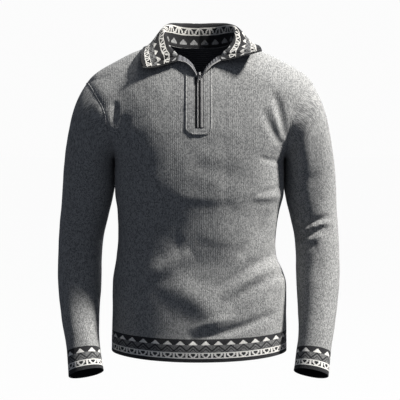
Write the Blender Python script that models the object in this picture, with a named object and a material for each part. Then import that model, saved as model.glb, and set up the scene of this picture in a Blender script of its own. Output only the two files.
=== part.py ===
"""A quarter-zip sweater in the hollow shape that it has when worn, with nobody in it.

The cloth is worked out as one net of points: rows across the front and the back of a smooth torso
form, rings down each sleeve, and sections around the collar. Neighbouring pieces share the net's
points at their seams. Each piece is then cut from the net and thickened inwards into a wall.

Frame: +Z up, the front faces -Y, +X is the wearer's left. The origin is at the middle of the neck,
at the height where the shoulder seams meet the collar. Lengths are in metres.
"""

import math
from collections import namedtuple

import bmesh
import bpy
from mathutils import Vector

# Cloth
WALL = 0.002  # thickness of the knitted cloth
SEAM_GAP = 0.0003  # between two pieces at a seam
ON_CLOTH = 0.0004  # from a panel's face to a piece that lies on it

# Torso
HEM_Z = -0.683  # lower edge of the hem band, at the middle of the front and back
HEM_SEAM_Z = -0.628  # where the hem band joins the panels
HEM_RISE = 0.008  # how far the hem's seam rises at the side seams
UNDERARM_Z = -0.250
NECK_POINT = (0.076, 0.003)  # x and z where the shoulder seam meets the collar
SHOULDER_TIP = (0.246, -0.089)  # x and z where the shoulder seam meets the sleeve
SHOULDER_ROUND = 0.070  # height over which the form closes to the shoulder seam
BARREL = 2.5  # exponent of the torso's section: 2 is an ellipse, more is squarer
ARMHOLE_REACH = 0.068  # how far the armhole swings forward, and back

# Rows and columns of the net
LOWER_ROWS = 14  # from the hem seam to the underarm
HEM_ROWS = 2
COLUMNS = 9  # in each half of the front and of the back

Level = namedtuple("Level", "z left right front back")
TORSO = (  # half widths to the wearer's left and right, and depths to the front and the back
    Level(-0.730, 0.193, 0.195, 0.121, 0.119),
    Level(-0.651, 0.192, 0.193, 0.119, 0.118),
    Level(-0.600, 0.191, 0.191, 0.115, 0.113),
    Level(-0.526, 0.190, 0.190, 0.110, 0.106),
    Level(-0.500, 0.183, 0.187, 0.108, 0.102),
    Level(-0.470, 0.170, 0.182, 0.106, 0.096),
    Level(-0.420, 0.168, 0.178, 0.105, 0.092),
    Level(-0.367, 0.175, 0.179, 0.108, 0.097),
    Level(-0.332, 0.184, 0.184, 0.112, 0.103),
    Level(-0.290, 0.185, 0.185, 0.114, 0.107),
    Level(-0.250, 0.186, 0.186, 0.115, 0.110),
    Level(-0.220, 0.202, 0.202, 0.113, 0.112),
    Level(-0.180, 0.226, 0.226, 0.108, 0.111),
    Level(-0.120, 0.245, 0.245, 0.094, 0.103),
    Level(-0.060, 0.256, 0.256, 0.072, 0.088),
    Level(0.000, 0.260, 0.260, 0.046, 0.071),
    Level(0.040, 0.262, 0.262, 0.036, 0.060),
)

Ridge = namedtuple("Ridge", "x z")
SHOULDER = (  # the shoulder seam, carried on to the middle and past the sleeve
    Ridge(0.000, 0.030),
    Ridge(0.076, 0.003),
    Ridge(0.110, -0.009),
    Ridge(0.145, -0.023),
    Ridge(0.183, -0.042),
    Ridge(0.213, -0.059),
    Ridge(0.230, -0.071),
    Ridge(0.246, -0.089),
    Ridge(0.262, -0.118),
)

Inner = namedtuple("Inner", "x z")
SLIT = 0.003  # half width of the zip's slit in the front panel
FRONT_INNER = (  # inner ends of the front's upper rows: middle line, then the slit's edge
    Inner(0.000, UNDERARM_Z),
    Inner(0.000, -0.220),
    Inner(0.000, -0.188),
    Inner(SLIT, -0.153),
    Inner(SLIT, -0.115),
    Inner(SLIT, -0.079),
)
FRONT_NECK = (  # and then, past the open corner, the neck seam
    Inner(0.055, -0.0305),
    Inner(0.069, -0.0190),
    Inner(*NECK_POINT),
)
BACK_INNER = (
    Inner(0.000, UNDERARM_Z),
    Inner(0.000, -0.205),
    Inner(0.000, -0.160),
    Inner(0.000, -0.118),
    Inner(0.000, -0.078),
    Inner(0.000, -0.042),
    Inner(0.000, -0.009),
    Inner(0.022, -0.009),
    Inner(0.043, -0.008),
    Inner(0.060, -0.005),
    Inner(0.071, -0.001),
    Inner(*NECK_POINT),
)

# The open corner of the front: the cloth rolls over along one line, and its zip edge lies outside.
Corner = namedtuple("Corner", "roll_x roll_z edge_x edge_z")
OPEN_CORNER = {
    1: (  # wearer's left
        Corner(0.014, -0.059, 0.0135, -0.066),
        Corner(0.026, -0.046, 0.0260, -0.0535),
        Corner(0.0405, -0.0335, 0.0430, -0.0435),
    ),
    -1: (
        Corner(0.0150, -0.053, 0.0140, -0.0620),
        Corner(0.0290, -0.0395, 0.0280, -0.0490),
        Corner(0.0430, -0.0320, 0.0460, -0.0450),
    ),
}
FLAP_LIFT = 0.006  # how far the turned zip edge lies in front of the chest

# The collar: where it rolls over and where its outer edge lies, at places along the neck seam.
LEAST_STAND = 0.005  # a lower stand than this is laid flat with the fall
STAND_ROWS_LEAST = 0.012  # rows of the net below the roll keep at least this height
Place = namedtuple("Place", "along roll edge")
COLLAR = {
    1: (
        Place(0.000, (0.000, 0.072, 0.0435), (0.000, 0.088, -0.006)),
        Place(0.170, (0.036, 0.067, 0.0435), (0.050, 0.084, -0.007)),
        Place(0.330, (0.064, 0.046, 0.0415), (0.090, 0.064, -0.008)),
        Place(0.490, (0.080, 0.008, 0.030), (0.114, 0.002, -0.006)),
        Place(0.670, (0.073, -0.024, 0.001), (0.126, -0.036, -0.009)),
        Place(0.780, (0.062, -0.042, -0.015), (0.130, -0.056, -0.013)),
        Place(0.870, (0.052, -0.0585, -0.0245), (0.132, -0.070, -0.017)),
        Place(0.930, (0.0405, -0.062, -0.0335), (0.133, -0.077, -0.020)),
        Place(1.000, (0.042, -0.069, -0.044), (0.133, -0.083, -0.022)),
    ),
    -1: (
        Place(0.000, (0.000, 0.072, 0.0435), (0.000, 0.088, -0.006)),
        Place(0.170, (0.037, 0.067, 0.0435), (0.050, 0.084, -0.007)),
        Place(0.330, (0.065, 0.044, 0.0415), (0.092, 0.062, -0.010)),
        Place(0.490, (0.077, 0.006, 0.028), (0.118, 0.006, -0.010)),
        Place(0.670, (0.070, -0.026, 0.004), (0.126, -0.044, -0.026)),
        Place(0.780, (0.063, -0.042, -0.013), (0.126, -0.060, -0.036)),
        Place(0.870, (0.052, -0.059, -0.0245), (0.125, -0.068, -0.044)),
        Place(0.930, (0.043, -0.062, -0.032), (0.123, -0.073, -0.050)),
        Place(1.000, (0.046, -0.069, -0.044), (0.121, -0.078, -0.055)),
    ),
}
STAND_SHARES = (0.0, 0.5, 0.85, 1.0)
FALL_SHARES = (0.10, 0.35, 0.68, 1.0)
ROLL_PULL = 0.028  # how strongly a section runs outwards at the roll
COLLAR_CLEAR = 0.003  # between the collar's underside and the shoulders

# Sleeves: rings by their inner and outer points in the front view.
Ring = namedtuple("Ring", "x_in z_in x_out z_out y_mid half_depth")
SLEEVE = (
    Ring(0.1888, -0.2530, 0.258, -0.112, 0.000, 0.069),
    Ring(0.1892, -0.2580, 0.273, -0.150, 0.002, 0.069),
    Ring(0.1884, -0.2635, 0.284, -0.195, 0.008, 0.069),
    Ring(0.1874, -0.2710, 0.293, -0.238, 0.015, 0.069),
    Ring(0.1862, -0.2840, 0.299, -0.276, 0.022, 0.068),
    Ring(0.1859, -0.3100, 0.302, -0.312, 0.026, 0.067),
    Ring(0.1914, -0.3450, 0.303, -0.350, 0.028, 0.065),
    Ring(0.2005, -0.3830, 0.305, -0.388, 0.026, 0.063),
    Ring(0.2088, -0.4200, 0.307, -0.425, 0.020, 0.060),
    Ring(0.2120, -0.4600, 0.308, -0.462, 0.010, 0.057),
    Ring(0.2125, -0.5000, 0.308, -0.502, -0.002, 0.053),
    Ring(0.2130, -0.5370, 0.305, -0.540, -0.016, 0.050),
    Ring(0.2145, -0.5730, 0.300, -0.577, -0.031, 0.046),
    Ring(0.2155, -0.6080, 0.294, -0.614, -0.048, 0.043),
    Ring(0.2140, -0.6370, 0.287, -0.645, -0.063, 0.040),
    Ring(0.2110, -0.6550, 0.283, -0.666, -0.073, 0.037),
)
CUFF = (
    Ring(0.2075, -0.6780, 0.280, -0.691, -0.084, 0.0355),
    Ring(0.2030, -0.7020, 0.277, -0.718, -0.095, 0.0350),
)
RIGHT_SLEEVE_OUT = 0.0025  # the wearer's right sleeve hangs this much further out
SLEEVE_ROUND = 2.2  # exponent of a sleeve's section

# Largest folds, as straight troughs (depth below 0) and ridges in the front view.
Fold = namedtuple("Fold", "x0 z0 x1 z1 face width depth")
FRONT, BACK = -1, 1
FOLDS = (
    Fold(0.166, -0.160, 0.178, -0.212, FRONT, 0.020, -0.005),
    Fold(0.104, -0.618, 0.155, -0.580, FRONT, 0.024, -0.005),
    Fold(0.150, -0.445, 0.120, -0.492, FRONT, 0.026, -0.005),
    Fold(0.160, -0.490, 0.130, -0.528, FRONT, 0.024, 0.004),
    Fold(-0.164, -0.165, -0.174, -0.205, FRONT, 0.020, -0.004),
    Fold(0.265, -0.398, 0.290, -0.402, FRONT, 0.022, -0.005),
    Fold(-0.265, -0.410, -0.290, -0.404, FRONT, 0.022, -0.004),
    Fold(0.120, -0.185, 0.165, -0.215, BACK, 0.022, -0.005),
    Fold(-0.125, -0.180, -0.166, -0.218, BACK, 0.022, -0.005),
    Fold(-0.080, -0.420, 0.090, -0.440, BACK, 0.028, -0.006),
    Fold(-0.110, -0.480, 0.060, -0.492, BACK, 0.026, -0.005),
)

# Zip and placket, as distances across the middle of the front
ZIP_TOP_Z = -0.074  # middle of the slider
ZIP_END_Z = -0.186
ZIP_END_GAP = 0.001  # from the placket's foot to the ends of the teeth and the welts
PLACKET_MIDDLE = -0.0018
PLACKET_HALF = 0.0288
PLACKET_CHANNEL = (-0.0066, 0.0089)  # edges of the channel that the zip lies in
PLACKET_END_Z = -0.200
PLACKET_TOP = {-1: (-0.051, -0.086), 1: (-0.055, -0.086)}  # z at the outer and the inner corner
PLACKET_WALL = 0.0018
Welt = namedtuple("Welt", "x width")
WELTS = {-1: Welt(-0.0037, 0.0032), 1: Welt(0.0047, 0.0052)}
WELT_THICK = 0.0020
CHAIN = (-0.0002, 0.0034, 0.0012)  # x, width and thickness of the closed teeth
TAPE_WIDTH = 0.0045
TAPE_THICK = 0.0012
TAPE_START = 0.0040  # from the neck seam, clear of the welt's end

# Slider and pull: along the cloth, across it and out from it
SLIDER_SIZE = (0.0070, 0.0110, 0.0024)  # across, along, out
SLIDER_BASE = 0.0030  # from the chest to the slider's back
BAIL_SIZE = (0.0018, 0.0060, 0.0032)
BAIL_HOLE = (0.0036, 0.0019)  # along, out
BAIL_FLOOR = 0.0002  # from the slider's face to the hole
PULL_BAR = 0.0012  # thickness of the pull, and width of its pivot bar
PULL_WIDTH = 0.0054
PULL_WINDOW = (0.0030, 0.0034)  # across, along
PULL_LENGTH = 0.0140

COLOURS = {  # base colour, roughness, metallic
    "wool": ((0.110, 0.112, 0.118), 0.95, 0.0),
    "border": ((0.055, 0.056, 0.060), 0.95, 0.0),
    "welt": ((0.300, 0.300, 0.300), 0.90, 0.0),
    "tape": ((0.012, 0.012, 0.014), 0.80, 0.0),
    "metal": ((0.250, 0.250, 0.255), 0.35, 1.0),
}


def clear_scene():
    for item in list(bpy.data.objects):
        bpy.data.objects.remove(item, do_unlink=True)


# ---------------------------------------------------------------- curves and the torso form


def along(rows, at, column):
    """One column of a table at a place between its rows, on a smooth curve through them."""
    places = [row[0] for row in rows]
    values = [getattr(row, column) for row in rows]
    last = len(rows) - 1
    if at <= places[0]:
        return values[0]
    if at >= places[last]:
        return values[last]
    k = max(i for i in range(last) if places[i] <= at)

    def slope(i):
        a, b = max(i - 1, 0), min(i + 1, last)
        return (values[b] - values[a]) * (1.0 / (places[b] - places[a]))

    span = places[k + 1] - places[k]
    t = (at - places[k]) / span
    start, end = values[k], values[k + 1]
    rise = (3 - 2 * t) * t * t
    leave = (t - 2) * t * t + t
    arrive = (t - 1) * t * t
    return start + (end - start) * rise + slope(k) * (span * leave) + slope(k + 1) * (span * arrive)


def half_width(z, side):
    return along(TORSO, z, "left" if side > 0 else "right")


def shoulder_z(x):
    return along(SHOULDER, abs(x), "z")


def depth(x, z, face):
    """How far the torso form lies in front of (FRONT) or behind (BACK) the shoulder seams."""
    share = min(abs(x) / half_width(z, x), 1.0)
    across = (1.0 - share**BARREL) ** (1.0 / BARREL)
    below = min(max((shoulder_z(x) - z) / SHOULDER_ROUND, 0.0), 1.0)
    over = math.sqrt(1.0 - (1.0 - below) ** 2)
    return along(TORSO, z, "front" if face == FRONT else "back") * across * over


def torso_point(x, z, face):
    return Vector((x, face * depth(x, z, face), z))


def off_front(x, z, out):
    """A point on the chest, moved out from it at right angles."""
    step = 0.004
    point = torso_point(x, z, FRONT)
    across = torso_point(x + step, z, FRONT) - torso_point(x - step, z, FRONT)
    up = torso_point(x, z + step, FRONT) - torso_point(x, z - step, FRONT)
    return point + across.cross(up).normalized() * out


def resample(points, count):
    """The same line with its points evenly spaced, in count steps."""
    lengths = [0.0]
    for a, b in zip(points, points[1:]):
        lengths.append(lengths[-1] + (b - a).length)
    return [at_length(points, lengths, lengths[-1] * i / count) for i in range(count + 1)]


def at_length(points, lengths, wanted):
    for i in range(len(points) - 1):
        if wanted <= lengths[i + 1] or i == len(points) - 2:
            t = (wanted - lengths[i]) / max(lengths[i + 1] - lengths[i], 1e-9)
            return points[i].lerp(points[i + 1], min(max(t, 0.0), 1.0))


def armhole(side, face, count):
    """The armhole seam from the underarm to the shoulder tip, in count steps."""
    tip_x, tip_z = SHOULDER_TIP
    middle, half = (UNDERARM_Z + tip_z) / 2, (tip_z - UNDERARM_Z) / 2
    line = []
    for i in range(61):
        turn = math.pi * i / 60
        z = middle - half * math.cos(turn)
        wanted = ARMHOLE_REACH * math.sin(turn)
        line.append(torso_point(side * x_at_depth(wanted, z, side, face), z, face))
    line[-1] = Vector((side * tip_x, 0.0, tip_z))
    return resample(line, count)


def x_at_depth(wanted, z, side, face):
    """Where the form is this deep, near its side: halving a span that holds the answer."""
    low, high = 0.100, half_width(z, side)
    for _ in range(40):
        middle = (low + high) / 2
        if depth(side * middle, z, face) > wanted:
            low = middle
        else:
            high = middle
    return high


def torso_row(outer, inner, bend, side, face, columns):
    """A row across half the form, from its outer end to (x, z) at its inner end."""
    line = []
    for i in range(61):
        turn = math.cos(math.pi / 2 * i / 60)
        x = inner[0] + (abs(outer.x) - inner[0]) * turn
        z = inner[1] + (outer.z - inner[1]) * turn
        on_seam = NECK_POINT[0] + (SHOULDER_TIP[0] - NECK_POINT[0]) * turn
        chord = NECK_POINT[1] + (SHOULDER_TIP[1] - NECK_POINT[1]) * turn
        z += bend * (shoulder_z(on_seam) - chord)
        line.append(torso_point(side * x, z, face))
    line[0] = outer
    return resample(line, columns)


# ---------------------------------------------------------------- the net of cloth


class Net:
    """Points of the cloth's outer face, and each piece's faces, seen anticlockwise from outside."""

    def __init__(self):
        self.points = []
        self.numbers = {}
        self.pieces = {}

    def number(self, point):
        """The point's number; two pieces that give the same point share it."""
        key = tuple(round(value * 1e5) for value in point)
        if key not in self.numbers:
            self.numbers[key] = len(self.points)
            self.points.append(Vector(point))
        return self.numbers[key]

    def add_grid(self, piece, rows, outward):
        """Faces between rows of points. outward is -1 where rows and columns turn the other way."""
        grid = [[self.number(point) for point in row] for row in rows]
        faces = self.pieces.setdefault(piece, [])
        for low, high in zip(grid, grid[1:]):
            for a, b, c, d in zip(low, low[1:], high[1:], high):
                corners = list(dict.fromkeys((a, b, c, d)))
                if len(corners) > 2:
                    faces += self.halves(corners if outward > 0 else corners[::-1])

    def halves(self, corners):
        """Triangles from a cell, cut along its shorter diagonal."""
        if len(corners) == 3:
            return [corners]
        a, b, c, d = (self.points[n] for n in corners)
        if (a - c).length > (b - d).length:
            corners = corners[1:] + corners[:1]
        return [corners[:3], [corners[2], corners[3], corners[0]]]

    def normals(self):
        total = [Vector((0, 0, 0)) for _ in self.points]
        for faces in self.pieces.values():
            for face in faces:
                corners = [self.points[n] for n in face]
                facing = (corners[1] - corners[0]).cross(corners[2] - corners[0]).normalized()
                for i, n in enumerate(face):
                    towards = corners[(i + 1) % 3] - corners[i]
                    total[n] += facing * towards.angle(corners[i - 1] - corners[i])
        return [vector.normalized() for vector in total]

    def press_folds(self):
        for n, (point, normal) in enumerate(zip(list(self.points), self.normals())):
            self.points[n] = point + normal * fold_depth(point, normal)

    def piece_wall(self, piece, normals):
        """One piece as a closed wall, with its edges drawn in to leave the gap at the seams."""
        faces = self.pieces[piece]
        edges = {(a, b) for face in faces for a, b in zip(face, face[1:] + face[:1])}
        border = {(a, b) for a, b in edges if (b, a) not in edges}
        after = dict(border)
        before = {b: a for a, b in border}
        used = sorted({n for face in faces for n in face})
        outer, inner = [], []
        for n in used:
            point = self.points[n].copy()
            if n in after:
                point += self.draw_in(before[n], n, after[n], normals[n])
            outer.append(point)
            inner.append(point - normals[n] * WALL)
        place = {n: i for i, n in enumerate(used)}
        count = len(used)
        made = [[place[n] for n in face] for face in faces]
        made += [[place[n] + count for n in reversed(face)] for face in faces]
        for a, b in border:
            low, high = place[a] + count, place[b] + count
            if a < b:  # both pieces at a seam cut this strip the same way
                made += [[place[b], place[a], high], [place[a], low, high]]
            else:
                made += [[place[b], place[a], low], [place[b], low, high]]
        return outer + inner, made

    def draw_in(self, before, at, after, normal):
        first = normal.cross(self.points[at] - self.points[before]).normalized()
        second = normal.cross(self.points[after] - self.points[at]).normalized()
        return (first + second) * (SEAM_GAP / 2 / max(1 + first.dot(second), 0.4))


def fold_depth(point, normal):
    """The folds' height at a point of the cloth, along its normal."""
    total = 0.0
    for fold in FOLDS:
        facing = min(max(fold.face * normal.y * 2.5, 0.0), 1.0)
        start = Vector((fold.x0, fold.z0))
        run = Vector((fold.x1, fold.z1)) - start
        offset = Vector((point.x, point.z)) - start
        share = offset.dot(run) / run.length_squared
        nearest = min(max(share, 0.0), 1.0)
        away = (offset - run * nearest).length / fold.width
        total += fold.depth * facing * math.exp(-away * away)
    return total


# ---------------------------------------------------------------- torso, sleeves and hem


def lower_levels():
    step = (UNDERARM_Z - HEM_SEAM_Z) / LOWER_ROWS
    return [HEM_SEAM_Z + step * i for i in range(LOWER_ROWS + 1)]


def hem_levels():
    step = (HEM_SEAM_Z - HEM_Z) / HEM_ROWS
    return [HEM_Z + step * i for i in range(HEM_ROWS + 1)]


def level_row(z, side, face, columns):
    """A row below the underarm; the lower it is, the more it rises towards the side seam."""
    rise = HEM_RISE * ((UNDERARM_Z - z) / (UNDERARM_Z - HEM_SEAM_Z)) ** 2
    line = []
    for i in range(61):
        turn = math.cos(math.pi / 2 * i / 60)
        level = z + rise * turn * turn
        line.append(torso_point(side * half_width(level, side) * turn, level, face))
    return resample(line, columns)


def upper_rows(side, face, inner_ends, columns):
    """Rows above the underarm, from the armhole seam to the given inner ends."""
    count = len(inner_ends) - 1
    seam = armhole(side, face, count)
    rows = []
    for i, (outer, inner) in enumerate(zip(seam, inner_ends)):
        rows.append(torso_row(outer, inner, i / count, side, face, columns))
    return rows


def corner_points(side):
    """The open corner's roll line and zip edge, each from the slit's top upwards."""
    top = off_front(side * SLIT, FRONT_INNER[-1].z, 0.0)
    roll, edge = [top], [top]
    for corner in OPEN_CORNER[side]:
        roll.append(off_front(side * corner.roll_x, corner.roll_z, 0.0))
        edge.append(off_front(side * corner.edge_x, corner.edge_z, FLAP_LIFT))
    return roll, edge


def add_front(net, side):
    corners = [Inner(corner.roll_x, corner.roll_z) for corner in OPEN_CORNER[side]]
    inner_ends = list(FRONT_INNER) + corners + list(FRONT_NECK)
    upper = upper_rows(side, FRONT, inner_ends, COLUMNS)
    roll, edge = corner_points(side)
    for i, point in enumerate(roll):
        upper[len(FRONT_INNER) - 1 + i][-1] = point
    lower = [level_row(z, side, FRONT, COLUMNS) for z in lower_levels()]
    net.add_grid("front_panel", lower + upper[1:], -side)
    flap = [[a, a.lerp(b, 0.5), b] for a, b in zip(roll[1:], edge[1:])]
    net.add_grid("front_panel", flap, -side)
    net.add_grid(
        "hem_band_front", [level_row(z, side, FRONT, COLUMNS) for z in hem_levels()], -side
    )
    neck = [row[-1] for row in upper[len(FRONT_INNER) + len(corners) :]]
    return neck[::-1] + flap[-1]


def add_back(net, side):
    upper = upper_rows(side, BACK, BACK_INNER, COLUMNS)
    lower = [level_row(z, side, BACK, COLUMNS) for z in lower_levels()]
    net.add_grid("back_panel", lower + upper[1:], side)
    net.add_grid(
        "hem_band_back", [level_row(z, side, BACK, COLUMNS) for z in hem_levels()], side
    )
    middle = [inner.x for inner in BACK_INNER].count(0.0) - 1
    return [row[-1] for row in upper[middle:]]


def rounded(value):
    return math.copysign(abs(value) ** (2 / SLEEVE_ROUND), value)


def ring_points(ring, before, after, side, steps):
    """A ring's points: from its inner point over the front to the outer one, and back behind."""
    centre = ring_centre(ring)
    wide = Vector((ring.x_out - ring.x_in, 0.0, ring.z_out - ring.z_in)) / 2
    run = ring_centre(after) - ring_centre(before)
    forward = run.cross(wide).normalized()
    if forward.y > 0:
        forward.negate()
    points = []
    for i in range(2 * steps):
        turn = math.pi * i / steps
        point = centre - wide * rounded(math.cos(turn))
        point += forward * ring.half_depth * rounded(math.sin(turn))
        points.append(Vector((side * point.x, point.y, point.z)))
    return points + points[:1]


def ring_centre(ring):
    return Vector(((ring.x_in + ring.x_out) / 2, ring.y_mid, (ring.z_in + ring.z_out) / 2))


def hung(ring, side):
    """The ring, moved out on the side whose sleeve hangs further from the body."""
    share = min(max((-0.32 - ring.z_out) / 0.08, 0.0), 1.0) if side < 0 else 0.0
    out = RIGHT_SLEEVE_OUT * share
    return ring._replace(x_in=ring.x_in + out, x_out=ring.x_out + out)


def add_sleeve(net, side, name):
    steps = len(BACK_INNER) - 1
    front = armhole(side, FRONT, steps)
    back = armhole(side, BACK, steps)
    loop = front + back[::-1][1:]
    rings = [hung(ring, side) for ring in SLEEVE + CUFF]
    made = []
    for i, ring in enumerate(rings):
        before, after = rings[max(i - 1, 0)], rings[min(i + 1, len(rings) - 1)]
        made.append(ring_points(ring, before, after, side, steps))
    last = len(SLEEVE)
    net.add_grid("sleeve_" + name, [loop] + made[:last], -side)
    net.add_grid("cuff_" + name, made[last - 1 :], -side)


# ---------------------------------------------------------------- collar


def blend(start, end, leave, arrive, t):
    """A point on the curve from start to end with the given directions at its ends."""
    rise = (3 - 2 * t) * t * t
    return start.lerp(end, rise) + leave * ((t - 2) * t * t + t) + arrive * ((t - 1) * t * t)


def collar_section(neck, place, side):
    """A section of the collar, from the neck seam over the roll to the outer edge, finely."""
    roll, edge = (Vector((side * p[0], p[1], p[2])) for p in (place.roll, place.edge))
    over = Vector((edge.x - roll.x, edge.y - roll.y, 0.0)).normalized()
    stand = (roll - neck).length
    steps = 24
    line = []
    if stand > LEAST_STAND:
        rise = (roll - neck) * 1.1
        pull = over * min(ROLL_PULL, stand * 0.6)
        line = [blend(neck, roll, rise, pull, i / steps) for i in range(steps)]
    else:
        roll, stand = neck, 0.0
    out = over * max(ROLL_PULL, (edge - roll).length * 0.7)
    settle = (edge - roll) * 0.9
    for i in range(steps + 1):
        clear = COLLAR_CLEAR * min(i / steps * 5, 1.0)
        line.append(clear_of_chest(blend(roll, edge, out, settle, i / steps), clear))
    return line, stand


def clear_of_chest(point, clear):
    """The point, moved forward or back to lie clear of the shoulders and chest."""
    if point.z > shoulder_z(point.x):
        return point
    face = FRONT if point.y < 0 else BACK
    least = depth(point.x, point.z, face) + clear
    return Vector((point.x, face * max(abs(point.y), least), point.z))


def add_collar(net, side, seam):
    """Half the collar: seam holds the neck seam's points from the back's middle to the zip edge."""
    lengths = [0.0]
    for a, b in zip(seam, seam[1:]):
        lengths.append(lengths[-1] + (b - a).length)
    columns = []
    for neck, length in zip(seam, lengths):
        share = length / lengths[-1]
        spot = Place(
            share,
            [smooth_part(COLLAR[side], share, "roll", i) for i in range(3)],
            [smooth_part(COLLAR[side], share, "edge", i) for i in range(3)],
        )
        line, stand = collar_section(neck, spot, side)
        columns.append(split_section(line, max(stand, STAND_ROWS_LEAST)))
    rows = [list(row) for row in zip(*columns)]
    net.add_grid("collar", rows, -side)
    return columns[-1]


def smooth_part(rows, at, column, part):
    Part = namedtuple("Part", "along value")
    return along([Part(row.along, getattr(row, column)[part]) for row in rows], at, "value")


def split_section(line, stand):
    lengths = [0.0]
    for a, b in zip(line, line[1:]):
        lengths.append(lengths[-1] + (b - a).length)
    fall = lengths[-1] - stand
    wanted = [stand * share for share in STAND_SHARES]
    wanted += [stand + fall * share for share in FALL_SHARES]
    return [at_length(line, lengths, value) for value in wanted]


# ---------------------------------------------------------------- placket and zip


def make_object(name, points, faces, material):
    mesh = bpy.data.meshes.new(name)
    mesh.from_pydata([tuple(point) for point in points], [], faces)
    mesh.materials.append(material)
    made = bpy.data.objects.new(name, mesh)
    bpy.context.collection.objects.link(made)
    return made


def smooth_shade(item, angle=40):
    item.data.shade_smooth()
    item.data.set_sharp_from_angle(angle=math.radians(angle))


def closed_grid(name, outer, inner, skip, material):
    """A wall between two grids of points. skip names the cells that are left open."""
    rows, columns = len(outer), len(outer[0])
    points = [point for row in outer for point in row] + [point for row in inner for point in row]
    shift = rows * columns
    top = []
    for r in range(rows - 1):
        for c in range(columns - 1):
            if (r, c) not in skip:
                at = r * columns + c
                top.append((at, at + 1, at + 1 + columns, at + columns))
    edges = {(a, b) for face in top for a, b in zip(face, face[1:] + face[:1])}
    faces = top + [tuple(n + shift for n in reversed(face)) for face in top]
    faces += [(b, a, a + shift, b + shift) for a, b in edges if (b, a) not in edges]
    made = make_object(name, points, faces, material)
    drop_loose(made)
    smooth_shade(made)
    return made


def drop_loose(item):
    shape = bmesh.new()
    shape.from_mesh(item.data)
    bmesh.ops.delete(shape, geom=[v for v in shape.verts if not v.link_faces], context="VERTS")
    bmesh.ops.recalc_face_normals(shape, faces=shape.faces)
    shape.to_mesh(item.data)
    shape.free()


def placket_rows():
    """Rows of (x, z) down the placket, six to a row: three on each side of the zip's channel."""
    left, right = PLACKET_MIDDLE - PLACKET_HALF, PLACKET_MIDDLE + PLACKET_HALF
    columns = (left, (left + PLACKET_CHANNEL[0]) / 2, PLACKET_CHANNEL[0])
    columns += (PLACKET_CHANNEL[1], (right + PLACKET_CHANNEL[1]) / 2, right)
    rows = []
    for share in (0.0, 0.2, 0.4, 0.6, 0.8, 1.0):
        row = []
        for x in columns:
            outer_z, inner_z = PLACKET_TOP[-1 if x < 0 else 1]
            reach = abs(x - PLACKET_MIDDLE) / PLACKET_HALF
            top = inner_z + (outer_z - inner_z) * max(reach - 0.25, 0.0) / 0.75
            row.append((x, top + (ZIP_END_Z - top) * share))
        rows.append(row)
    drop = ZIP_END_Z - PLACKET_END_Z
    for turn in (40, 70, 84):
        angle = math.radians(turn)
        near = math.cos(angle) ** 0.7
        z = ZIP_END_Z - drop * math.sin(angle)
        rows.append([(PLACKET_MIDDLE + (x - PLACKET_MIDDLE) * near, z) for x in columns])
    return rows


def build_placket(material):
    rows = placket_rows()
    open_cells = {(r, 2) for r in range(5)}
    outer = [[off_front(x, z, ON_CLOTH + PLACKET_WALL) for x, z in row] for row in rows]
    inner = [[off_front(x, z, ON_CLOTH) for x, z in row] for row in rows]
    return closed_grid("placket", outer, inner, open_cells, material)


def tube(name, path, sides, outs, width, thick, material):
    """A bar with bevelled long edges along a path; sides and outs are its directions there."""
    profile = [(-0.5, 0.0), (-0.28, 0.5), (0.28, 0.5), (0.5, 0.0), (0.28, -0.5), (-0.28, -0.5)]
    points = []
    for at, across, out in zip(path, sides, outs):
        points += [at + across * (a * width) + out * (b * thick) for a, b in profile]
    count = len(profile)
    faces = [tuple(reversed(range(count)))]
    for r in range(len(path) - 1):
        for c in range(count):
            d = (c + 1) % count
            faces.append((r * count + c, r * count + d, (r + 1) * count + d, (r + 1) * count + c))
    faces.append(tuple(range((len(path) - 1) * count, len(path) * count)))
    made = make_object(name, points, faces, material)
    drop_loose(made)
    smooth_shade(made, 60)
    return made


def directions(path):
    """At each point of a path, the direction it runs in."""
    last = len(path) - 1
    return [(path[min(i + 1, last)] - path[max(i - 1, 0)]).normalized() for i in range(last + 1)]


def chest_out(x, z):
    return (off_front(x, z, 0.001) - off_front(x, z, 0.0)).normalized()


def build_chain(material):
    x, width, thick = CHAIN
    top = ZIP_TOP_Z - SLIDER_SIZE[1] / 2 - SEAM_GAP
    low = ZIP_END_Z + ZIP_END_GAP
    levels = [low + (top - low) * i / 5 for i in range(6)]
    path = [off_front(x, z, ON_CLOTH + thick / 2) for z in levels]
    outs = [chest_out(x, z) for z in levels]
    sides = [run.cross(out) for run, out in zip(directions(path), outs)]
    return tube("zip_chain", path, sides, outs, width, thick, material)


def build_welt(side, name, edge, edge_outs, material):
    """The knitted welt beside the teeth, which goes on along the turned zip edge."""
    welt = WELTS[side]
    low, top = ZIP_END_Z + ZIP_END_GAP, FRONT_INNER[-1].z
    levels = [low + (top - low) * i / 6 for i in range(7)]
    path = [off_front(welt.x, z, ON_CLOTH + WELT_THICK / 2) for z in levels]
    outs = [chest_out(welt.x, z) for z in levels]
    away = welt.width / 2 + SEAM_GAP
    for at, out, run in zip(edge[1:], edge_outs[1:], directions(edge)[1:]):
        beyond = run.cross(out).normalized() * side
        path.append(at + beyond * away + out * (WALL / 2))
        outs.append(out)
    sides = [run.cross(out).normalized() for run, out in zip(directions(path), outs)]
    return tube("zip_welt_" + name, path, sides, outs, welt.width, WELT_THICK, material)


def build_tape(side, name, edge, edge_outs, material):
    """Half the open zip, along the collar's front edge from the neck seam to the corner."""
    edge = [edge[0].lerp(edge[1], TAPE_START / (edge[1] - edge[0]).length)] + edge[1:]
    runs = directions(edge)
    away = TAPE_WIDTH / 2 + SEAM_GAP
    path, sides = [], []
    for at, out, run in zip(edge, edge_outs, runs):
        beyond = run.cross(out).normalized() * side
        path.append(at + beyond * away + out * (WALL / 2))
        sides.append(beyond)
    return tube("zip_tape_" + name, path, sides, edge_outs, TAPE_WIDTH, TAPE_THICK, material)


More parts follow.
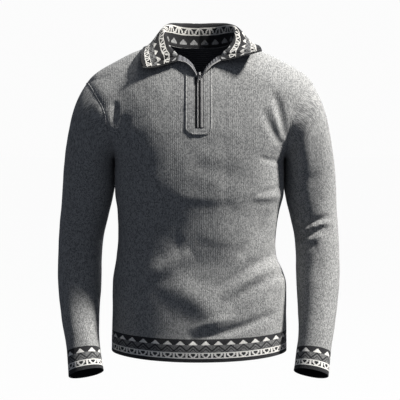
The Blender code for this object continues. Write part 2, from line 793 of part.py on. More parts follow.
def slider_frame():
    """The slider's middle on the chest, with the directions down the chest and out of it."""
    out = chest_out(0.0, ZIP_TOP_Z)
    down = Vector((1, 0, 0)).cross(out).normalized()
    if down.z > 0:
        down.negate()
    return off_front(0.0, ZIP_TOP_Z, 0.0), down, out


def block(name, across, down_span, out_span, material=None):
    """A block in the slider's frame, from spans down the chest and out of it."""
    middle, down, out = slider_frame()
    points = []
    for x in (-across / 2, across / 2):
        for d in down_span:
            for o in out_span:
                points.append(middle + Vector((x, 0, 0)) + down * d + out * o)
    faces = [(0, 1, 3, 2), (4, 6, 7, 5), (0, 4, 5, 1), (2, 3, 7, 6), (0, 2, 6, 4), (1, 5, 7, 3)]
    made = make_object(name, points, faces, material)
    drop_loose(made)
    return made


def add_boolean(item, tool, operation):
    tool.hide_render = True
    tool.display_type = "WIRE"
    modifier = item.modifiers.new(operation.title(), "BOOLEAN")
    modifier.operation = operation
    modifier.object = tool


def build_slider(material):
    across, length, out = SLIDER_SIZE
    top = SLIDER_BASE + out
    body = block("zip_slider", across, (-length / 2, length / 2), (SLIDER_BASE, top), material)
    bail_top = top + BAIL_SIZE[2]
    span = (-BAIL_SIZE[1] / 2, BAIL_SIZE[1] / 2)
    bail = block("bail_tool", BAIL_SIZE[0], span, (top - 0.0005, bail_top), material)
    floor = top + BAIL_FLOOR
    hole_span = (-BAIL_HOLE[0] / 2, BAIL_HOLE[0] / 2)
    hole = block("hole_tool", across * 1.5, hole_span, (floor, floor + BAIL_HOLE[1]), material)
    add_boolean(body, bail, "UNION")
    add_boolean(body, hole, "DIFFERENCE")
    return body


def pull_axis():
    """The pull's hinge line: through the middle of the bail's hole, along X."""
    middle, _, out = slider_frame()
    rise = SLIDER_BASE + SLIDER_SIZE[2] + BAIL_FLOOR + BAIL_HOLE[1] / 2
    return middle + out * rise


def build_pull(material):
    """A flat pull with a window near its top, whose upper bar turns under the bail."""
    _, down, out = slider_frame()
    half, inner = PULL_WIDTH / 2, PULL_WINDOW[0] / 2
    top, low = -PULL_BAR / 2, PULL_BAR / 2
    end = low + PULL_WINDOW[1]
    tip = PULL_LENGTH
    outline = [
        (-half, top), (half, top), (half, end), (half * 0.8, tip - 0.001), (half * 0.45, tip),
        (-half * 0.45, tip), (-half * 0.8, tip - 0.001), (-half, end),
    ]  # fmt: skip
    window = [(-inner, low), (inner, low), (inner, end), (-inner, end)]
    flat = [(0, 1, 9, 8), (1, 2, 10, 9), (2, 3, 4, 5, 6, 7, 11, 10), (7, 0, 8, 11)]
    points = []
    for level in (PULL_BAR / 2, -PULL_BAR / 2):
        for x, d in outline + window:
            points.append(Vector((x, 0, 0)) + down * d + out * level)
    count = len(outline) + len(window)
    edges = {(a, b) for face in flat for a, b in zip(face, face[1:] + face[:1])}
    faces = flat + [tuple(n + count for n in reversed(face)) for face in flat]
    faces += [(b, a, a + count, b + count) for a, b in edges if (b, a) not in edges]
    pull = make_object("zip_pull", points, faces, material)
    drop_loose(pull)
    pull.location = pull_axis()
    return pull


# ---------------------------------------------------------------- materials and assembly


def make_material(name):
    colour, roughness, metallic = COLOURS[name]
    material = bpy.data.materials.new(name)
    material.use_nodes = True
    shader = material.node_tree.nodes["Principled BSDF"]
    shader.inputs["Base Color"].default_value = (*colour, 1.0)
    shader.inputs["Roughness"].default_value = roughness
    shader.inputs["Metallic"].default_value = metallic
    return material


def build_cloth(materials):
    net = Net()
    zip_edges = {}
    for side, name in ((1, "left"), (-1, "right")):
        front_neck = add_front(net, side)
        back_neck = add_back(net, side)
        add_sleeve(net, side, name)
        leaf = add_collar(net, side, back_neck + front_neck[1:])
        zip_edges[side] = (corner_points(side)[1], leaf)
    net.press_folds()
    normals = net.normals()
    for piece in net.pieces:
        points, faces = net.piece_wall(piece, normals)
        plain = piece.endswith("panel") or piece.startswith("sleeve")
        made = make_object(piece, points, faces, materials["wool" if plain else "border"])
        smooth_shade(made)
    return net, normals, zip_edges


def build_zip(net, normals, zip_edges, materials):
    build_placket(materials["wool"])
    build_chain(materials["tape"])
    for side, name in ((1, "left"), (-1, "right")):
        edge, leaf = zip_edges[side]
        outs = [-normals[net.number(point)] for point in edge]
        leaf_outs = [-normals[net.number(point)] for point in leaf]
        build_welt(side, name, edge, outs, materials["welt"])
        build_tape(side, name, leaf, leaf_outs, materials["tape"])
    build_slider(materials["metal"])
    build_pull(materials["metal"])


def main():
    clear_scene()
    materials = {name: make_material(name) for name in COLOURS}
    net, normals, zip_edges = build_cloth(materials)
    build_zip(net, normals, zip_edges, materials)


main()
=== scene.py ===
"""Dresses the solids of a quarter-zip sweater in knitted cloth with patterned borders and a zip.

The cloth is worked out as one net of points: rows across the front and the back of a smooth torso
form, rings down each sleeve and sections around the collar. Creases and the knit's unevenness are
pressed into the net, and each piece is a grid laid on it and thickened inwards.
"""

import functools
import math
from collections import namedtuple

import bpy
import numpy as np
from mathutils import Matrix, Vector, noise


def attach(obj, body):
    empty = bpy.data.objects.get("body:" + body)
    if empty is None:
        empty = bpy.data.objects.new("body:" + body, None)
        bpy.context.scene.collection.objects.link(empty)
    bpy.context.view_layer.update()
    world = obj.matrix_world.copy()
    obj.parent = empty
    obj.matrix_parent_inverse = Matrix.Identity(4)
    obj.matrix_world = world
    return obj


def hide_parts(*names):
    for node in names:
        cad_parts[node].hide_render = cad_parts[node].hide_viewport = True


bl_info = {
    "name": "Quarter-zip sweater",
    "version": (1, 0, 0),
    "blender": (4, 5, 0),
    "location": "View3D > Sidebar > Sweater",
    "description": "Knitted cloth, patterned borders and zip on the sweater's solids",
    "category": "Object",
}

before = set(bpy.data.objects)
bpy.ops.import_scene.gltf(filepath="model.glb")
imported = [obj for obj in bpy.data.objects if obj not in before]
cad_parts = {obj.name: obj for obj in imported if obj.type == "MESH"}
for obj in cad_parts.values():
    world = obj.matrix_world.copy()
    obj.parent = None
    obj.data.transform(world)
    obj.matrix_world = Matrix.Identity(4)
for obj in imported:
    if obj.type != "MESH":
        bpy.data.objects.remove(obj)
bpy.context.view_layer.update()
BODY, TAB = "sweater", "pull_tab"

# ---------------------------------------------------------------- sizes, in metres

HEM_Z = -0.683
HEM_SEAM_Z = -0.628
HEM_RISE = 0.008  # at the side seams
UNDERARM_Z = -0.250
NECK_POINT = (0.076, 0.003)  # x and z where the shoulder seam meets the collar
SHOULDER_TIP = (0.246, -0.089)
SHOULDER_ROUND = 0.070  # height over which the form closes to the shoulder seam
BARREL = 2.5  # exponent of the torso's section: 2 is an ellipse, more is squarer
ARMHOLE_REACH = 0.068  # how far the armhole swings forward, and back
FRONT, BACK = -1, 1

# Steps of the net
COLUMNS = 64  # in each half of the front and of the back
LOWER_ROWS = 104
FINE = 6  # steps between two rows of a table
HEM_ROWS = 12
FLAP_COLUMNS = 8
STAND_STEPS, FALL_STEPS = 10, 26

Level = namedtuple("Level", "z left right front back")
TORSO = (  # half widths to the wearer's left and right, and depths to the front and the back
    Level(-0.730, 0.193, 0.195, 0.121, 0.119),
    Level(-0.651, 0.192, 0.193, 0.119, 0.118),
    Level(-0.600, 0.191, 0.191, 0.115, 0.113),
    Level(-0.526, 0.190, 0.190, 0.110, 0.106),
    Level(-0.500, 0.183, 0.187, 0.108, 0.102),
    Level(-0.470, 0.170, 0.182, 0.106, 0.096),
    Level(-0.420, 0.168, 0.178, 0.105, 0.092),
    Level(-0.367, 0.175, 0.179, 0.108, 0.097),
    Level(-0.332, 0.184, 0.184, 0.112, 0.103),
    Level(-0.290, 0.185, 0.185, 0.114, 0.107),
    Level(-0.250, 0.186, 0.186, 0.115, 0.110),
    Level(-0.220, 0.202, 0.202, 0.113, 0.112),
    Level(-0.180, 0.226, 0.226, 0.108, 0.111),
    Level(-0.120, 0.245, 0.245, 0.094, 0.103),
    Level(-0.060, 0.256, 0.256, 0.072, 0.088),
    Level(0.000, 0.260, 0.260, 0.046, 0.071),
    Level(0.040, 0.262, 0.262, 0.036, 0.060),
)

Ridge = namedtuple("Ridge", "x z")
SHOULDER = (
    Ridge(0.000, 0.030),
    Ridge(0.076, 0.003),
    Ridge(0.110, -0.009),
    Ridge(0.145, -0.023),
    Ridge(0.183, -0.042),
    Ridge(0.213, -0.059),
    Ridge(0.230, -0.071),
    Ridge(0.246, -0.089),
    Ridge(0.262, -0.118),
)

Inner = namedtuple("Inner", "x z")
SLIT = 0.003  # half width of the zip's slit in the front panel
FRONT_INNER = (  # inner ends of the front's upper rows: middle line, then the slit's edge
    Inner(0.000, UNDERARM_Z),
    Inner(0.000, -0.220),
    Inner(0.000, -0.188),
    Inner(SLIT, -0.153),
    Inner(SLIT, -0.115),
    Inner(SLIT, -0.079),
)
FRONT_NECK = (Inner(0.055, -0.0305), Inner(0.069, -0.0190), Inner(*NECK_POINT))
BACK_MIDDLE = (
    Inner(0.000, UNDERARM_Z),
    Inner(0.000, -0.205),
    Inner(0.000, -0.160),
    Inner(0.000, -0.118),
    Inner(0.000, -0.078),
    Inner(0.000, -0.042),
    Inner(0.000, -0.009),
)
BACK_NECK = (
    Inner(0.022, -0.009),
    Inner(0.043, -0.008),
    Inner(0.060, -0.005),
    Inner(0.071, -0.001),
    Inner(*NECK_POINT),
)

# The open corner of the front: the cloth rolls over along one line, its zip edge lies outside it.
Corner = namedtuple("Corner", "roll_x roll_z edge_x edge_z")
OPEN_CORNER = {
    1: (  # wearer's left
        Corner(0.014, -0.059, 0.0135, -0.066),
        Corner(0.026, -0.046, 0.0260, -0.0535),
        Corner(0.0405, -0.0335, 0.0430, -0.0435),
    ),
    -1: (
        Corner(0.0150, -0.053, 0.0140, -0.0620),
        Corner(0.0290, -0.0395, 0.0280, -0.0490),
        Corner(0.0430, -0.0320, 0.0460, -0.0450),
    ),
}
FLAP_LIFT = 0.006

# The collar: where it rolls over and where its outer edge lies, at places along the neck seam.
COLLAR_HEIGHT = 0.093
Place = namedtuple("Place", "along roll edge")
COLLAR = {
    1: (
        Place(0.000, (0.000, 0.072, 0.0435), (0.000, 0.088, -0.006)),
        Place(0.170, (0.036, 0.067, 0.0435), (0.050, 0.084, -0.007)),
        Place(0.330, (0.064, 0.046, 0.0415), (0.090, 0.064, -0.008)),
        Place(0.490, (0.080, 0.008, 0.030), (0.114, 0.002, -0.006)),
        Place(0.670, (0.073, -0.024, 0.001), (0.126, -0.036, -0.009)),
        Place(0.780, (0.062, -0.042, -0.015), (0.130, -0.056, -0.013)),
        Place(0.870, (0.052, -0.0585, -0.0245), (0.132, -0.070, -0.017)),
        Place(0.930, (0.0405, -0.062, -0.0335), (0.133, -0.077, -0.020)),
        Place(1.000, (0.042, -0.069, -0.044), (0.133, -0.083, -0.022)),
    ),
    -1: (
        Place(0.000, (0.000, 0.072, 0.0435), (0.000, 0.088, -0.006)),
        Place(0.170, (0.037, 0.067, 0.0435), (0.050, 0.084, -0.007)),
        Place(0.330, (0.065, 0.044, 0.0415), (0.092, 0.062, -0.010)),
        Place(0.490, (0.077, 0.006, 0.028), (0.118, 0.006, -0.010)),
        Place(0.670, (0.070, -0.026, 0.004), (0.126, -0.044, -0.026)),
        Place(0.780, (0.063, -0.042, -0.013), (0.126, -0.060, -0.036)),
        Place(0.870, (0.052, -0.059, -0.0245), (0.125, -0.068, -0.044)),
        Place(0.930, (0.043, -0.062, -0.032), (0.123, -0.073, -0.050)),
        Place(1.000, (0.046, -0.069, -0.044), (0.121, -0.078, -0.055)),
    ),
}
STAND_ENDS = (0.86, 0.93)  # places between which the collar's stand dies out
STAND_LEAST = 0.012  # rows below the roll keep at least this height
ROLL_PULL = 0.028
COLLAR_CLEAR = 0.003

# Sleeves: rings by their inner and outer points in the front view.
Ring = namedtuple("Ring", "x_in z_in x_out z_out y_mid half_depth")
SLEEVE = (
    Ring(0.1870, -0.2530, 0.258, -0.112, 0.000, 0.069),
    Ring(0.1864, -0.2580, 0.273, -0.150, 0.002, 0.069),
    Ring(0.1860, -0.2635, 0.284, -0.195, 0.008, 0.069),
    Ring(0.1856, -0.2710, 0.293, -0.238, 0.015, 0.069),
    Ring(0.1862, -0.2840, 0.299, -0.276, 0.022, 0.068),
    Ring(0.1859, -0.3100, 0.302, -0.312, 0.026, 0.067),
    Ring(0.1914, -0.3450, 0.303, -0.350, 0.028, 0.065),
    Ring(0.2005, -0.3830, 0.305, -0.388, 0.026, 0.063),
    Ring(0.2088, -0.4200, 0.307, -0.425, 0.020, 0.060),
    Ring(0.2120, -0.4600, 0.308, -0.462, 0.010, 0.057),
    Ring(0.2125, -0.5000, 0.308, -0.502, -0.002, 0.053),
    Ring(0.2130, -0.5370, 0.305, -0.540, -0.016, 0.050),
    Ring(0.2145, -0.5730, 0.300, -0.577, -0.031, 0.046),
    Ring(0.2155, -0.6080, 0.294, -0.614, -0.048, 0.043),
    Ring(0.2140, -0.6370, 0.287, -0.645, -0.063, 0.040),
    Ring(0.2110, -0.6550, 0.283, -0.666, -0.073, 0.037),
)
CUFF = (
    Ring(0.2075, -0.6780, 0.280, -0.691, -0.084, 0.0355),
    Ring(0.2030, -0.7020, 0.277, -0.718, -0.095, 0.0350),
)
RIGHT_SLEEVE_OUT = 0.0025
SLEEVE_ROUND = 2.2
TOUCH_X, TOUCH_Z, TOUCH_REACH = 0.186, -0.285, 0.030  # where sleeve and body lie together

# Creases, as soft troughs (height below 0) and ridges in the front view, bowed to one side.
Crease = namedtuple("Crease", "x0 z0 x1 z1 bow width height face")
CREASES = (
    # the wearer's left armpit and sleeve head
    Crease(0.162, -0.118, 0.181, -0.200, 0.003, 0.0095, -0.0066, FRONT),
    Crease(0.139, -0.152, 0.177, -0.222, -0.003, 0.0090, -0.0046, FRONT),
    Crease(0.154, -0.139, 0.177, -0.210, 0.002, 0.0060, 0.0018, FRONT),
    Crease(0.224, -0.172, 0.195, -0.231, 0.003, 0.0070, -0.0034, FRONT),
    Crease(0.215, -0.147, 0.193, -0.203, 0.002, 0.0065, -0.0024, FRONT),
    Crease(0.222, -0.175, 0.222, -0.345, 0.000, 0.0260, 0.0110, FRONT),
    # the wearer's right armpit and sleeve head
    Crease(-0.222, -0.098, -0.200, -0.190, 0.004, 0.0280, 0.0110, FRONT),
    Crease(-0.178, -0.134, -0.180, -0.179, 0.000, 0.0060, -0.0055, FRONT),
    Crease(-0.158, -0.165, -0.168, -0.200, 0.000, 0.0090, -0.0040, FRONT),
    Crease(-0.196, -0.150, -0.182, -0.205, 0.000, 0.0160, 0.0040, FRONT),
    # elbow of the wearer's left sleeve
    Crease(0.204, -0.406, 0.279, -0.380, 0.003, 0.0060, -0.0062, FRONT),
    Crease(0.206, -0.431, 0.273, -0.401, 0.003, 0.0060, -0.0058, FRONT),
    Crease(0.206, -0.459, 0.250, -0.436, 0.002, 0.0060, -0.0058, FRONT),
    Crease(0.212, -0.418, 0.286, -0.390, 0.003, 0.0055, 0.0042, FRONT),
    Crease(0.208, -0.448, 0.264, -0.421, 0.003, 0.0055, 0.0042, FRONT),
    # elbow of the wearer's right sleeve
    Crease(-0.257, -0.410, -0.210, -0.403, 0.002, 0.0070, -0.0035, FRONT),
    Crease(-0.249, -0.440, -0.208, -0.427, 0.002, 0.0070, -0.0030, FRONT),
    Crease(-0.287, -0.397, -0.240, -0.410, -0.002, 0.0070, -0.0025, FRONT),
    # the waist, pulled in on the wearer's left
    Crease(0.181, -0.259, 0.132, -0.249, 0.002, 0.0060, -0.0028, FRONT),
    Crease(0.177, -0.310, 0.132, -0.323, 0.002, 0.0060, -0.0024, FRONT),
    Crease(0.173, -0.350, 0.099, -0.346, -0.002, 0.0080, -0.0012, FRONT),
    Crease(0.173, -0.331, 0.120, -0.335, 0.001, 0.0060, 0.0018, FRONT),
    Crease(0.145, -0.367, 0.092, -0.454, 0.004, 0.0085, -0.0035, FRONT),
    Crease(0.162, -0.384, 0.111, -0.460, 0.004, 0.0100, 0.0025, FRONT),
    Crease(0.166, -0.458, 0.044, -0.525, -0.006, 0.0100, -0.0042, FRONT),
    Crease(0.183, -0.498, 0.069, -0.557, -0.006, 0.0105, -0.0044, FRONT),
    Crease(0.171, -0.481, 0.056, -0.542, -0.006, 0.0090, 0.0028, FRONT),
    # across the middle: the chest's fall, then shallow folds
    Crease(-0.130, -0.302, 0.030, -0.302, 0.000, 0.0620, 0.0050, FRONT),
    Crease(-0.062, -0.344, 0.073, -0.350, -0.004, 0.0085, -0.0008, FRONT),
    Crease(-0.025, -0.425, 0.110, -0.405, 0.000, 0.0420, 0.0060, FRONT),
    Crease(-0.049, -0.327, 0.061, -0.331, -0.004, 0.0080, 0.0005, FRONT),
    Crease(-0.007, -0.263, 0.120, -0.310, 0.004, 0.0190, -0.0016, FRONT),
    Crease(0.001, -0.428, 0.086, -0.443, -0.004, 0.0090, -0.0005, FRONT),
    Crease(-0.114, -0.506, -0.030, -0.455, 0.000, 0.0190, 0.0058, FRONT),
    # above the hem
    Crease(-0.060, -0.520, 0.045, -0.600, 0.008, 0.0290, 0.0064, FRONT),
    Crease(-0.016, -0.612, 0.073, -0.589, 0.003, 0.0075, 0.0026, FRONT),
    Crease(-0.016, -0.633, 0.154, -0.585, -0.006, 0.0090, -0.0060, FRONT),
    # the back
    Crease(0.120, -0.185, 0.165, -0.215, 0.000, 0.0120, -0.0050, BACK),
    Crease(-0.125, -0.180, -0.166, -0.218, 0.000, 0.0120, -0.0050, BACK),
    Crease(-0.080, -0.420, 0.090, -0.440, 0.006, 0.0180, -0.0060, BACK),
    Crease(-0.110, -0.480, 0.060, -0.492, 0.006, 0.0170, -0.0050, BACK),
    Crease(-0.095, -0.450, 0.075, -0.465, 0.006, 0.0150, 0.0040, BACK),
    Crease(0.245, -0.405, 0.285, -0.398, 0.002, 0.0080, -0.0035, BACK),
    Crease(-0.245, -0.405, -0.285, -0.398, 0.002, 0.0080, -0.0035, BACK),
)

# Zip and placket, as distances across the middle of the front
ZIP_TOP_Z = -0.074
ZIP_END_Z = -0.186
PLACKET_MIDDLE = -0.0018
PLACKET_HALF = 0.0288
PLACKET_CHANNEL = (-0.0098, 0.0086)
PLACKET_END_Z = -0.200
PLACKET_TOP = {-1: (-0.051, -0.082), 1: (-0.055, -0.082)}
ON_CLOTH = 0.0004
Welt = namedtuple("Welt", "x width")
WELTS = {-1: Welt(-0.0036, 0.0030), 1: Welt(0.0046, 0.0052)}
WELT_THICK = 0.0022
SEAM_WIDTH, SEAM_THICK = 0.0030, 0.0022  # of the armhole's seam; half of it is sunk in the cloth
TAPE_WIDTH = 0.0045
TAPE_THICK = 0.0010
TAPE_STEP = 0.0030
SLIDER_BASE = 0.0030
SLIDER_BODY = 0.0024
BAIL_FLOOR = 0.0002
BAIL_HOLE = 0.0019

# ---------------------------------------------------------------- curves and the torso form


def along(rows, at, column):
    """One column of a table at a place between its rows, on a smooth curve through them."""
    last = len(rows) - 1
    if at <= rows[0][0]:
        return getattr(rows[0], column)
    if at >= rows[last][0]:
        return getattr(rows[last], column)
    k = max(i for i in range(last) if rows[i][0] <= at)

    def slope(i):
        a, b = rows[max(i - 1, 0)], rows[min(i + 1, last)]
        return (getattr(b, column) - getattr(a, column)) * (1.0 / (b[0] - a[0]))

    span = rows[k + 1][0] - rows[k][0]
    t = (at - rows[k][0]) / span
    start, end = getattr(rows[k], column), getattr(rows[k + 1], column)
    rise = (3 - 2 * t) * t * t
    leave = (t - 2) * t * t + t
    arrive = (t - 1) * t * t
    return start + (end - start) * rise + slope(k) * (span * leave) + slope(k + 1) * (span * arrive)


def half_width(z, side):
    return along(TORSO, z, "left" if side > 0 else "right")


def shoulder_z(x):
    return along(SHOULDER, abs(x), "z")


def barrel_depth(x, z, face):
    """How far the torso's upright section reaches from the side seams' plane."""
    share = min(abs(x) / half_width(z, x), 1.0)
    across = (1.0 - share**BARREL) ** (1.0 / BARREL)
    return along(TORSO, z, "front" if face == FRONT else "back") * across


def depth(x, z, face):
    """The same, closed over the shoulders."""
    below = min(max((shoulder_z(x) - z) / SHOULDER_ROUND, 0.0), 1.0)
    return barrel_depth(x, z, face) * math.sqrt(1.0 - (1.0 - below) ** 2)


def torso_point(x, z, face):
    return Vector((x, face * depth(x, z, face), z))


def off_front(x, z, out):
    """A point on the chest, moved out from it at right angles."""
    step = 0.004
    point = torso_point(x, z, FRONT)
    across = torso_point(x + step, z, FRONT) - torso_point(x - step, z, FRONT)
    up = torso_point(x, z + step, FRONT) - torso_point(x, z - step, FRONT)
    return point + across.cross(up).normalized() * out


def chest_out(x, z):
    return (off_front(x, z, 0.001) - off_front(x, z, 0.0)).normalized()


def line_lengths(points):
    lengths = [0.0]
    for a, b in zip(points, points[1:]):
        lengths.append(lengths[-1] + (b - a).length)
    return lengths


def resample(points, count):
    """The same line with its points evenly spaced, in count steps."""
    lengths = line_lengths(points)
    return [at_length(points, lengths, lengths[-1] * i / count) for i in range(count + 1)]


def at_length(points, lengths, wanted):
    for i in range(len(points) - 1):
        if wanted <= lengths[i + 1] or i == len(points) - 2:
            t = (wanted - lengths[i]) / max(lengths[i + 1] - lengths[i], 1e-9)
            return points[i].lerp(points[i + 1], min(max(t, 0.0), 1.0))


def x_at_depth(wanted, z, side, face):
    """Where the form is this deep, near its side: halving a span that holds the answer."""
    low, high = 0.100, half_width(z, side)
    for _ in range(40):
        middle = (low + high) / 2
        if depth(side * middle, z, face) > wanted:
            low = middle
        else:
            high = middle
    return high


def armhole(side, face, count):
    """The armhole seam from the underarm to the shoulder tip, in count steps."""
    tip_x, tip_z = SHOULDER_TIP
    middle, half = (UNDERARM_Z + tip_z) / 2, (tip_z - UNDERARM_Z) / 2
    line = []
    for i in range(61):
        turn = math.pi * i / 60
        z = middle - half * math.cos(turn)
        wanted = ARMHOLE_REACH * math.sin(turn)
        line.append(torso_point(side * x_at_depth(wanted, z, side, face), z, face))
    line[-1] = Vector((side * tip_x, 0.0, tip_z))
    return resample(line, count)


def torso_row(outer, inner, bend, side, face):
    """A row across half the form, from its outer end to (x, z) at its inner end."""
    line = []
    for i in range(61):
        turn = math.cos(math.pi / 2 * i / 60)
        x = inner[0] + (abs(outer.x) - inner[0]) * turn
        z = inner[1] + (outer.z - inner[1]) * turn
        on_seam = NECK_POINT[0] + (SHOULDER_TIP[0] - NECK_POINT[0]) * turn
        chord = NECK_POINT[1] + (SHOULDER_TIP[1] - NECK_POINT[1]) * turn
        z += bend * (shoulder_z(on_seam) - chord)
        line.append(torso_point(side * x, z, face))
    line[0] = outer
    return resample(line, COLUMNS)


def level_row(z, side, face):
    """A row below the underarm; the lower it is, the more it rises towards the side seam."""
    rise = HEM_RISE * ((UNDERARM_Z - z) / (UNDERARM_Z - HEM_SEAM_Z)) ** 2
    line = []
    for i in range(61):
        turn = math.cos(math.pi / 2 * i / 60)
        level = z + rise * turn * turn
        line.append(torso_point(side * half_width(level, side) * turn, level, face))
    return resample(line, COLUMNS)


def fine_steps(points, smooth):
    """FINE steps between each two points of a table, straight or on a smooth curve."""
    if smooth:
        Spot = namedtuple("Spot", ("at",) + points[0]._fields)
        spots = [Spot(i, *point) for i, point in enumerate(points)]
        places = [i / FINE for i in range((len(points) - 1) * FINE + 1)]
        return [
            type(points[0])(*(along(spots, at, name) for name in points[0]._fields))
            for at in places
        ]
    made = []
    for a, b in zip(points, points[1:]):
        for i in range(FINE):
            made.append(type(a)(*(p + (q - p) * i / FINE for p, q in zip(a, b))))
    return made + [points[-1]]


def upper_rows(side, face, inner_ends):
    """Rows above the underarm, from the armhole seam to the given inner ends."""
    count = len(inner_ends) - 1
    seam = armhole(side, face, count)
    pairs = enumerate(zip(seam, inner_ends))
    return [torso_row(outer, inner, i / count, side, face) for i, (outer, inner) in pairs]


def smooth_step(low, high, at):
    t = min(max((at - low) / (high - low), 0.0), 1.0)
    return t * t * (3 - 2 * t)


def blend(start, end, leave, arrive, t):
    """A point on the curve from start to end with the given directions at its ends."""
    rise = (3 - 2 * t) * t * t
    return start.lerp(end, rise) + leave * ((t - 2) * t * t + t) + arrive * ((t - 1) * t * t)


# ---------------------------------------------------------------- flat places in the knit

FLAT_QUARTER = 0.255  # a quarter of the girth, as knitted
ARC_STEP = 0.004


@functools.cache
def arc_table():
    """Lengths around the form from the middle line: by height, side, and steps of ARC_STEP."""
    table = {}
    for k in range(-76, 6):
        z = k * 0.01
        for side in (1, -1):
            for face in (FRONT, BACK):
                width = half_width(z, side)
                spots = [
                    Vector((x, barrel_depth(side * x, z, face)))
                    for x in (min(i * ARC_STEP, width) for i in range(int(0.27 / ARC_STEP)))
                ]
                spots.append(Vector((width, 0.0)))
                table[k, side, face] = line_lengths(spots)
    return table


def arc_at(x, k, side, face):
    lengths = arc_table()[k, side, face]
    at = min(abs(x) / ARC_STEP, len(lengths) - 2.001)
    i = int(at)
    return lengths[i] + (lengths[i + 1] - lengths[i]) * (at - i)


def flat_place(point, side, face):
    """Where a point of a panel lies in the knit: across its wales and along them."""
    k = math.floor(point.z * 100)
    t = point.z * 100 - k
    around = arc_at(point.x, k, side, face) * (1 - t) + arc_at(point.x, k + 1, side, face) * t
    below = max(min(k, 4), -75) if point.z < UNDERARM_Z else -25
    whole = arc_table()[below, side, face][-1]
    closing = max(1 - (shoulder_z(point.x) - point.z) / SHOULDER_ROUND, 0.0)
    rise = SHOULDER_ROUND * (1.15 * math.asin(min(closing, 1.0)) - closing)
    return side * around * FLAT_QUARTER / whole, point.z + rise


# ---------------------------------------------------------------- the net of cloth


class Net:
    """Points of the cloth's outer face, and the grids of each piece that are laid on them."""

    def __init__(self):
        self.points = []
        self.numbers = {}
        self.grids = {}

    def number(self, point):
        """The point's number; two pieces that give the same point share it."""
        key = tuple(round(value * 1e5) for value in point)
        if key not in self.numbers:
            self.numbers[key] = len(self.points)
            self.points.append(tuple(point))
        return self.numbers[key]

    def add_grid(self, piece, rows, places, outward):
        """outward is -1 where the rows and columns run clockwise, seen from outside."""
        numbers = np.array([[self.number(point) for point in row] for row in rows])
        self.grids.setdefault(piece, []).append((numbers, np.array(places), outward))

    def settle(self):
        """Presses creases and unevenness into the net, and keeps its normals."""
        self.points = np.array(self.points)
        normals = self.find_normals()
        self.points += normals * relief(self.points, normals)[:, None]
        self.normals = self.find_normals()

    def find_normals(self):
        total = np.zeros_like(self.points)
        for grids in self.grids.values():
            for numbers, _, outward in grids:
                corners = numbers[:-1, :-1], numbers[:-1, 1:], numbers[1:, 1:], numbers[1:, :-1]
                a, b, c, d = (self.points[corner] for corner in corners)
                facing = np.cross(c - a, d - b) * outward
                facing /= np.maximum(np.linalg.norm(facing, axis=-1, keepdims=True), 1e-12)
                for corner in corners:
                    np.add.at(total, corner, facing)
        return total / np.maximum(np.linalg.norm(total, axis=-1, keepdims=True), 1e-12)


def relief(points, normals):
    """The height of creases and unevenness at each point of the cloth, along its normal."""
    total = np.zeros(len(points))
    for crease in CREASES:
        facing = np.clip(crease.face * normals[:, 1] * 2.5, 0.0, 1.0)
        start = np.array((crease.x0, crease.z0))
        run = np.array((crease.x1, crease.z1)) - start
        length = np.linalg.norm(run)
        run /= length
        offset = points[:, (0, 2)] - start
        share = offset @ run / length
        nearest = np.clip(share, 0.0, 1.0)
        across = offset @ np.array((-run[1], run[0])) - crease.bow * 4 * nearest * (1 - nearest)
        beyond = (share - nearest) * length
        taper = np.sin(np.pi * np.clip((share + 0.15) / 1.3, 0.0, 1.0)) ** 0.7
        away = (across**2 + beyond**2) / crease.width**2
        total += crease.height * facing * taper * np.exp(-away)
    settings = bpy.context.scene.sweater_cloth
    seed = Vector((3.1, 7.7, 1.9))
    beside = (np.abs(points[:, 0]) - TOUCH_X) / TOUCH_REACH
    level = np.maximum(np.abs(points[:, 2] - TOUCH_Z) - TOUCH_REACH, 0.0) / TOUCH_REACH
    loose = 1.0 - np.exp(-(beside**2) - level**2)
    for i, point in enumerate(points):
        spot = Vector(point)
        broad = noise.noise(spot * 11 + seed)
        small = noise.noise(spot * 34 - seed)
        total[i] += settings.uneven * (1.6 * broad + 0.6 * small) * loose[i]
    return total


def corner_lines(side):
    """The open corner's roll line and zip edge, each from the slit's top upwards."""
    top = FRONT_INNER[-1]
    rolls = fine_steps((top, *(Inner(c.roll_x, c.roll_z) for c in OPEN_CORNER[side])), True)
    edges = fine_steps((top, *(Inner(c.edge_x, c.edge_z) for c in OPEN_CORNER[side])), True)
    roll = [off_front(side * p.x, p.z, 0.0) for p in rolls]
    lifts = [FLAP_LIFT * smooth_step(0, FINE, i) for i in range(len(edges))]
    edge = [off_front(side * p.x, p.z, lift) for p, lift in zip(edges, lifts)]
    return rolls, roll, edge


def add_front(net, side):
    rolls, roll, edge = corner_lines(side)
    neck = fine_steps((rolls[-1], *FRONT_NECK), True)
    inner_ends = fine_steps(FRONT_INNER, False) + rolls[1:] + neck[1:]
    upper = upper_rows(side, FRONT, inner_ends)
    slit_top = len(FRONT_INNER) * FINE - FINE
    for i, point in enumerate(roll):
        upper[slit_top + i][-1] = point
    step = (UNDERARM_Z - HEM_SEAM_Z) / LOWER_ROWS
    lower = [level_row(HEM_SEAM_Z + step * i, side, FRONT) for i in range(LOWER_ROWS)]
    rows = lower + upper
    places = [[flat_place(point, side, FRONT) for point in row] for row in rows]
    net.add_grid("front", rows, places, -side)
    flap = []
    for a, b in zip(roll[1:], edge[1:]):
        out = chest_out(a.x, a.z) * min((b - a).length, 0.008)
        steps = [i / FLAP_COLUMNS for i in range(FLAP_COLUMNS + 1)]
        flap.append([blend(a, b, out, (b - a) * 0.8, t) for t in steps])
    at_roll = [flat_place(point, side, FRONT) for point in roll[1:]]
    folded = [
        [(u - side * (point - row[0]).length, v) for point in row]
        for row, (u, v) in zip(flap, at_roll)
    ]
    net.add_grid("front", flap, folded, -side)
    add_hem(net, "hem_front", side, FRONT, -side)
    neck_seam = [row[-1] for row in upper[slit_top + len(roll) - 1 :]]
    return neck_seam[::-1] + flap[-1][1:], edge


